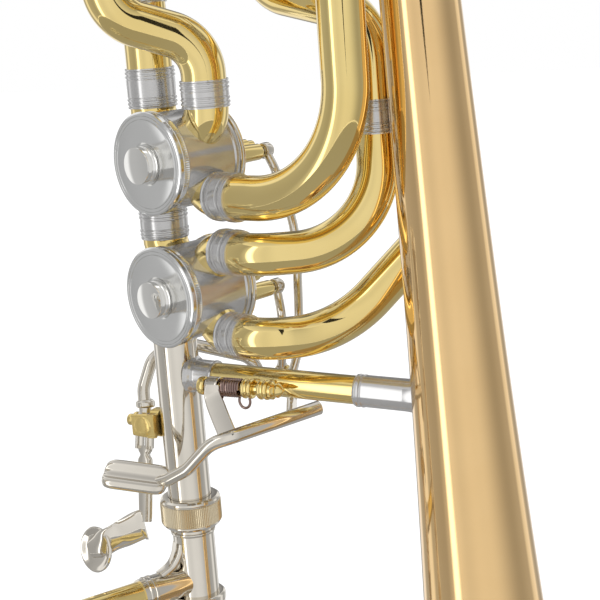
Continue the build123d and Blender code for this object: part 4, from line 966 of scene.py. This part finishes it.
def hand_slide():
    barrels = Skin(NICKEL)
    inner = Skin(SLIDE)
    outer = Skin(SLIDE)
    collars = Skin(NICKEL)
    for line in (MAIN, SLIDE_2):
        outline = [(-48.0, 8.75), (-48.0, 10.2), (-47.2, 10.4), (-46.0, 10.0), (-45.0, 9.9), (-12.0, 9.9),
            (-11.7, 10.2), (-10.7, 10.2), (-10.4, 9.9), (-3.6, 9.9), (-3.0, 10.4), (-0.8, 10.3), (0, 9.6),
            (0, 7.6), (-10.0, 7.6), (-10.0, 8.75)]
        outline = [(BARREL_TOP + along, radius) for along, radius in outline]
        barrels.hollow(line, UP, outline, 0.2, 96)
        inner.pipe([line + UP * INNER_BOTTOM, line + UP * BARREL_TOP], 7.6, 7.15, 72)
        inner.sleeve(line + UP * INNER_BOTTOM, line + UP * (INNER_BOTTOM + 100), 7.7, 7.6)
        outer.pipe([line + UP * OUTER_BOTTOM, line + UP * OUTER_TOP], 8.2, 7.75, 72)
        outline = [(218.0, 8.2), (218.0, 8.8), (219.5, 8.95), (225.4, 8.9), (225.8, 9.3), (228.2, 9.3),
            (228.6, 8.9), (234.5, 8.95), (236.0, 8.8), (236.0, 8.2)]
        collars.hollow(line, UP, outline, 0.2, 80)
        collars.ferrule(line, UP, OUTER_BOTTOM - 24, OUTER_BOTTOM + 8, 8.9, 8.2)
    barrels.made("cork_barrel_tubes", FIXED, "cork_barrels")
    inner.made("inner_slide_stockings", FIXED, "inner_slide_tubes")
    outer.made("outer_slide_chrome", "outer_slide", "outer_slide_tubes")
    start = MAIN + UP * 227.0 + SLIDE_SIDE * 8.9
    end = SLIDE_2 + UP * 227.0 - SLIDE_SIDE * 8.9
    grip = Skin(YELLOW, NICKEL)
    length = (end - start).length
    grip.pipe([start + SLIDE_SIDE * 9, end - SLIDE_SIDE * 9], 4.6, 4.0, 64)
    for origin, way in ((start, SLIDE_SIDE), (end, SLIDE_SIDE * -1)):
        outline = [(-2.0, 0), (-2.0, 7.2), (0.4, 6.6), (1.6, 5.6), (3.0, 5.1), (8.2, 5.0), (8.6, 5.3),
            (9.6, 5.3), (10.0, 4.7), (10.0, 0)]
        grip.turned(origin, way, outline, 64, finish=1)
    grip.shape(start, SLIDE_SIDE, [(length / 2 - 2.2, 4.5), (length / 2 - 1.2, 5.0), (length / 2 + 1.2, 5.0),
        (length / 2 + 2.2, 4.5)], 0.4, 64, finish=1)
    grip.made("outer_slide_grip", "outer_slide", "outer_brace")
    collars.made("outer_slide_collars", "outer_slide", "outer_slide_sleeves")
    a_end, b_end = MAIN + UP * (OUTER_BOTTOM - 24), SLIDE_2 + UP * (OUTER_BOTTOM - 24)
    low = (a_end + b_end) / 2 - UP * (SLIDE_SPACING / 2)
    tube("slide_bow_tube", "outer_slide", "slide_bow", YELLOW, half_turn(a_end, low, b_end, 60), 8.2, 7.6,
        72)
    foot = low - UP * 8.2
    bumper = Skin(RUBBER, NICKEL)
    down = UP * -1
    cup = [(-1.0, 0), (-1.0, 6.4), (1.8, 6.5), (2.2, 6.2), (2.4, 5.8), (2.4, 0)]
    bumper.shape(foot, down, cup, 0.3, 64, finish=1)
    bumper.turned(foot, down, [(2.4, 0), (2.4, 6.1), (3.0, 6.4), (6.4, 6.45), (7.4, 6.1), (8.2, 5.4),
        (8.8, 4.2), (9.0, 3.0), (9.0, 0)], 64)
    bumper.made("bow_bumper", "outer_slide", "slide_bumper")


def slide_lock():
    skin = Skin(NICKEL, KNURL)
    outline = [(253.5, 9.96), (253.5, 10.9), (254.3, 11.2), (255.6, 11.2), (262.0, 11.2), (263.4, 11.0),
        (264.0, 10.4), (264.0, 9.96)]
    skin.hollow(SLIDE_2, UP, outline, 0.2, 96)
    skin.turned(SLIDE_2, UP, [(255.8, 11.15), (255.9, 11.3), (261.7, 11.3), (261.8, 11.15)], 480, finish=1,
        teeth=80, depth=0.22, span=(255.85, 261.75))
    tab = [SLIDE_2 - SLIDE_SIDE * 10.7 + UP * z for z in (240.8, 243.0, 248.0, 254.5)]
    skin.swept(smooth_curve(tab, 5), pad(6.0, 1.2, 0.5), hint=SLIDE_FLAT,
        scale=[(0.55 + 0.45 * min(1, k / 5), 1) for k in range(16)])
    skin.made("slide_lock_ring", "slide_lock_body", "slide_lock", crease=28)


def mouthpiece():
    receiver = Skin(NICKEL)
    receiver.hollow(SLIDE_2, UP, [(326.0, 7.0), (326.0, 8.6), (329.0, 8.5), (330.0, 8.1), (335.0, 8.1),
        (335.4, 8.35), (336.2, 8.35), (336.6, 8.1), (351.6, 8.1), (352.6, 8.9), (357.2, 8.9), (358.0, 8.5),
        (358.0, 6.4), (326.0, 6.05)], 0.25, 96)
    receiver.made("mouthpiece_socket", FIXED, "mouthpiece_receiver")
    cup = Skin(PLATE)
    outline = [(332.0, 4.6), (332.0, 6.0), (358.0, 6.26), (362.0, 6.5), (368.0, 7.1), (374.0, 7.9),
        (379.0, 8.9), (381.0, 9.8), (382.6, 9.9), (383.6, 9.6), (388.0, 11.4), (394.0, 13.9), (400.0, 15.6),
        (406.0, 17.0), (409.0, 17.8), (411.0, 19.0), (413.0, 19.55), (415.0, 19.6), (416.4, 19.1),
        (417.2, 18.2), (417.6, 16.6), (417.2, 15.4), (416.2, 14.4), (413.0, 13.4), (408.0, 12.7),
        (402.0, 12.0), (397.0, 10.2), (393.0, 7.6), (389.6, 4.2), (387.6, 3.5), (385.0, 3.4), (378.0, 3.6),
        (366.0, 4.0)]
    cup.hollow(SLIDE_2, UP, outline, 0.5, 112)
    cup.made("mouthpiece_cup", "mouthpiece_body", "mouthpiece", crease=50)


def water_key():
    spot = SLIDE_2 + UP * (OUTER_BOTTOM - 12)
    out = SLIDE_SIDE
    hinge = spot + out * 12.0 + UP * 7.0
    saddle = Skin(NICKEL)
    for side in (-1, 1):
        start = hinge + SLIDE_FLAT * (side * 3.1)
        saddle.swept([start - out * 3.1, start - out * 1.2, start, start + out * 1.5], pad(5.0, 1.5, 0.6),
            hint=UP, scale=[(1.2, 1), (1, 1), (0.9, 1), (0.6, 1)])
    saddle.rod(hinge - SLIDE_FLAT * 4.4, hinge + SLIDE_FLAT * 4.4, 1.0)
    saddle.made("water_key_hinge", "outer_slide", "water_key_saddle")
    key = Skin(NICKEL, SPRING)
    key.hollow(hinge, SLIDE_FLAT, [(-2.0, 1.05), (-2.0, 1.9), (2.0, 1.9), (2.0, 1.05)], 0.3, 32)
    line = smooth_curve([hinge + UP * -14.2 + out * 0.7, hinge + UP * -9 + out * 0.9,
        hinge + UP * -2.4 + out * 1.4, hinge + UP * 2.4 + out * 1.6, hinge + UP * 12 + out * 1.4,
        hinge + UP * 20.2 + out * 1.9], 6)
    sizes = []
    for k in range(len(line)):
        t = k / (len(line) - 1)
        sizes.append((0.62 + 0.38 * abs(2 * t - 0.75), 1))
    key.swept(line, cupped(6.0, 1.2, 0.25), hint=SLIDE_FLAT, scale=sizes)
    coil(key, hinge - SLIDE_FLAT * 1.9, SLIDE_FLAT, 3.8, 2.3, 0.3, 5, finish=1)
    key.made("water_key_lever", "water_key_body", "water_key", crease=45)
    cork = Skin(CORK, NICKEL)
    cork.shape(hinge + UP * -11.5, out, [(-2.7, 0), (-2.7, 2.5), (-0.6, 2.6), (-0.6, 0)], 0.3, 40)
    cork.shape(hinge + UP * -11.5, out, [(-0.9, 0), (-0.9, 2.8), (0.2, 2.8), (0.2, 0)], 0.3, 40, finish=1)
    cork.made("water_key_pad", "water_key_body", "water_key_cork")


# ---------------------------------------------------------------- stage, light and camera
def area_light(name, spot, aim, width, height, power, tint=(1, 1, 1)):
    lamp = bpy.data.lights.new(name, "AREA")
    lamp.shape = "RECTANGLE"
    lamp.size, lamp.size_y = width, height
    lamp.energy = power
    lamp.color = tint
    lamp_object = bpy.data.objects.new(name, lamp)
    lamp_object.location = spot
    lamp_object.rotation_euler = (Vector(aim) - Vector(spot)).to_track_quat("-Z", "Y").to_euler()
    lamp_object.visible_glossy = False
    bpy.context.scene.collection.objects.link(lamp_object)


FLOOR_REACH = 14.0          # metres from the middle of the floor to its edges


def stage():
    floor_z = cad_low.z - 0.0005
    data = bpy.data.meshes.new("floor")
    reach = FLOOR_REACH
    data.from_pydata([(-reach, -reach, floor_z), (reach, -reach, floor_z), (reach, reach, floor_z),
        (-reach, reach, floor_z)], [], [(0, 1, 2, 3)])
    material, nodes, links, shader = new_material("pale_floor")
    shade = noise(nodes, links, 2.0, 3.0)
    links.new(ramp(nodes, links, shade, [(0.3, (0.92, 0.92, 0.92)), (0.7, (0.95, 0.95, 0.95))]),
        shader.inputs["Base Color"])
    shader.inputs["Roughness"].default_value = 0.9
    shader.inputs["Specular IOR Level"].default_value = 0.1
    shader.inputs["Emission Color"].default_value = (1, 1, 1, 1)
    shader.inputs["Emission Strength"].default_value = 0.32
    data.materials.append(material)
    floor = bpy.data.objects.new("floor", data)
    bpy.context.scene.collection.objects.link(floor)


CAMERA_HEADING = -62.1
WALL_DISTANCE, WALL_HEIGHTS, WALL_STEP = 1.7, (-0.6, 2.4), 1.5
FLOOR_TONE, GAP_TONE = 0.4, 0.03
STUDIO_CENTRE = Vector((-0.06, 0.0, 0.3))
# Headings in degrees from the camera's side, each with the brightness of the studio wall there.
WALL_TONES = [
    (-180, 0.18), (-172, 0.36), (-160, 1.0), (-150, 1.0), (-143, 0.5), (-130, 0.42), (-122, 0.95),
    (-112, 1.0), (-104, 0.5), (-70, 0.44), (-60, 0.6), (-53.5, 2.3), (-48.5, 2.3), (-42, 0.9),
    (-25, 0.80), (0, 0.88), (18, 0.86), (75, 0.42), (100, 0.5), (110, 0.9), (118, 1.0), (127, 0.5),
    (136, 0.42), (146, 0.6), (154, 1.0), (165, 0.95), (174, 0.3), (180, 0.18)]


def wall_tone(heading):
    for (start, tone), (end, after) in zip(WALL_TONES, WALL_TONES[1:]):
        if start <= heading <= end:
            t = (heading - start) / (end - start)
            t = t * t * (3 - 2 * t)
            return tone + (after - tone) * t
    return WALL_TONES[-1][1]


def panel(name, points, faces, tones):
    """A studio panel that gives only reflections: it is neither seen nor casts a shadow."""
    data = bpy.data.meshes.new(name)
    data.from_pydata(points, [], faces)
    layer = data.attributes.new("tone", "FLOAT", "POINT")
    layer.data.foreach_set("value", tones)
    material = bpy.data.materials.new(name)
    material.use_nodes = True
    nodes = material.node_tree.nodes
    nodes.remove(nodes["Principled BSDF"])
    glow = nodes.new("ShaderNodeEmission")
    painted = nodes.new("ShaderNodeAttribute")
    painted.attribute_name = "tone"
    material.node_tree.links.new(painted.outputs["Fac"], glow.inputs["Strength"])
    material.node_tree.links.new(glow.outputs["Emission"], nodes["Material Output"].inputs["Surface"])
    data.materials.append(material)
    board = bpy.data.objects.new(name, data)
    bpy.context.scene.collection.objects.link(board)
    board.visible_camera = False
    board.visible_diffuse = False
    board.visible_shadow = False
    board.visible_transmission = False


def studio():
    """A round wall of soft panels, a grey floor panel and a dark card close to the bell."""
    points, faces, tones = [], [], []
    count = round(360 / WALL_STEP)
    for k in range(count):
        heading = -180 + WALL_STEP * k
        angle = math.radians(CAMERA_HEADING + heading)
        for z in WALL_HEIGHTS:
            points.append((STUDIO_CENTRE.x + WALL_DISTANCE * math.cos(angle),
                STUDIO_CENTRE.y + WALL_DISTANCE * math.sin(angle), z))
            tones.append(wall_tone(heading))
        after = (k + 1) % count
        faces.append((2 * k, 2 * after, 2 * after + 1, 2 * k + 1))
    panel("studio_wall", points, faces, tones)
    z = cad_low.z + 0.002
    ring = [(STUDIO_CENTRE.x + 1.65 * math.cos(math.pi * k / 16),
        STUDIO_CENTRE.y + 1.65 * math.sin(math.pi * k / 16), z) for k in range(32)]
    panel("floor_panel", ring, [tuple(range(32))], [FLOOR_TONE] * 32)
    heading = math.radians(CAMERA_HEADING - 6)
    centre = Vector((-0.031, 0, 0)) + Vector((math.cos(heading), math.sin(heading), 0)) * 0.13
    across = Vector((-math.sin(heading), math.cos(heading), 0))
    outline = [(-0.004, 0.70), (-0.004, 0.60), (-0.002, 0.54), (0.002, 0.485), (0.016, 0.54), (0.034, 0.60),
        (0.05, 0.70)]
    gap = [tuple(centre + across * side + Vector((0, 0, height))) for side, height in outline]
    panel("dark_gap", gap, [tuple(range(len(gap)))], [GAP_TONE] * len(gap))


def world():
    """A white studio that darkens overhead."""
    scene_world = bpy.data.worlds.new("studio")
    bpy.context.scene.world = scene_world
    scene_world.use_nodes = True
    nodes, links = scene_world.node_tree.nodes, scene_world.node_tree.links
    coordinates = nodes.new("ShaderNodeTexCoord")
    split = nodes.new("ShaderNodeSeparateXYZ")
    links.new(coordinates.outputs["Generated"], split.inputs["Vector"])
    tones = ramp(nodes, links, split.outputs["Z"], [(0.0, (1.0, 1.0, 1.0)), (0.72, (1.0, 1.0, 1.0)),
        (1.0, (0.52, 0.52, 0.53))])
    links.new(tones, nodes["Background"].inputs["Color"])


CAMERA_SPOT = (0.15248, -0.43964, 0.52365)
CAMERA_RIGHT = Vector((0.888716, 0.452554, -0.073341))
CAMERA_UP = Vector((-0.032698, 0.222133, 0.974468))
CAMERA_LENS = 86.626


def camera():
    data = bpy.data.cameras.new("camera")
    data.lens = CAMERA_LENS
    data.sensor_width = 36.0
    data.clip_start = 0.02
    data.clip_end = 60.0
    view = bpy.data.objects.new("camera", data)
    right, up = CAMERA_RIGHT, CAMERA_UP
    back = right.cross(up).normalized()
    up = back.cross(right)
    turn = Matrix((right, up, back)).transposed().to_4x4()
    view.matrix_world = Matrix.Translation(CAMERA_SPOT) @ turn
    bpy.context.scene.collection.objects.link(view)
    bpy.context.scene.camera = view


def plain_nodes():
    """The inner parts that keep their own shape."""
    for name, material in (("valve_1_rotor", BRONZE), ("valve_2_rotor", BRONZE), ("valve_bearings", BRONZE)):
        node = frame["nodes"][name]
        node.data.materials.clear()
        node.data.materials.append(material)


bell()
main_line()
main_tuning()
for valve_number in VALVE_Z:
    valve(valve_number)
valve_backs()
loops()
braces()
hinges()
thumb_lever()
finger_lever()
link(1, FOOT_1)
link(2, FOOT_2)
hand_slide_neck()
hand_slide()
slide_lock()
mouthpiece()
water_key()
plain_nodes()
stage()
world()
studio()
area_light("key", (1.4, -2.2, 1.9), (-0.06, 0, 0.1), 1.6, 1.6, 14)
camera()
bpy.context.scene.view_settings.view_transform = "Standard"
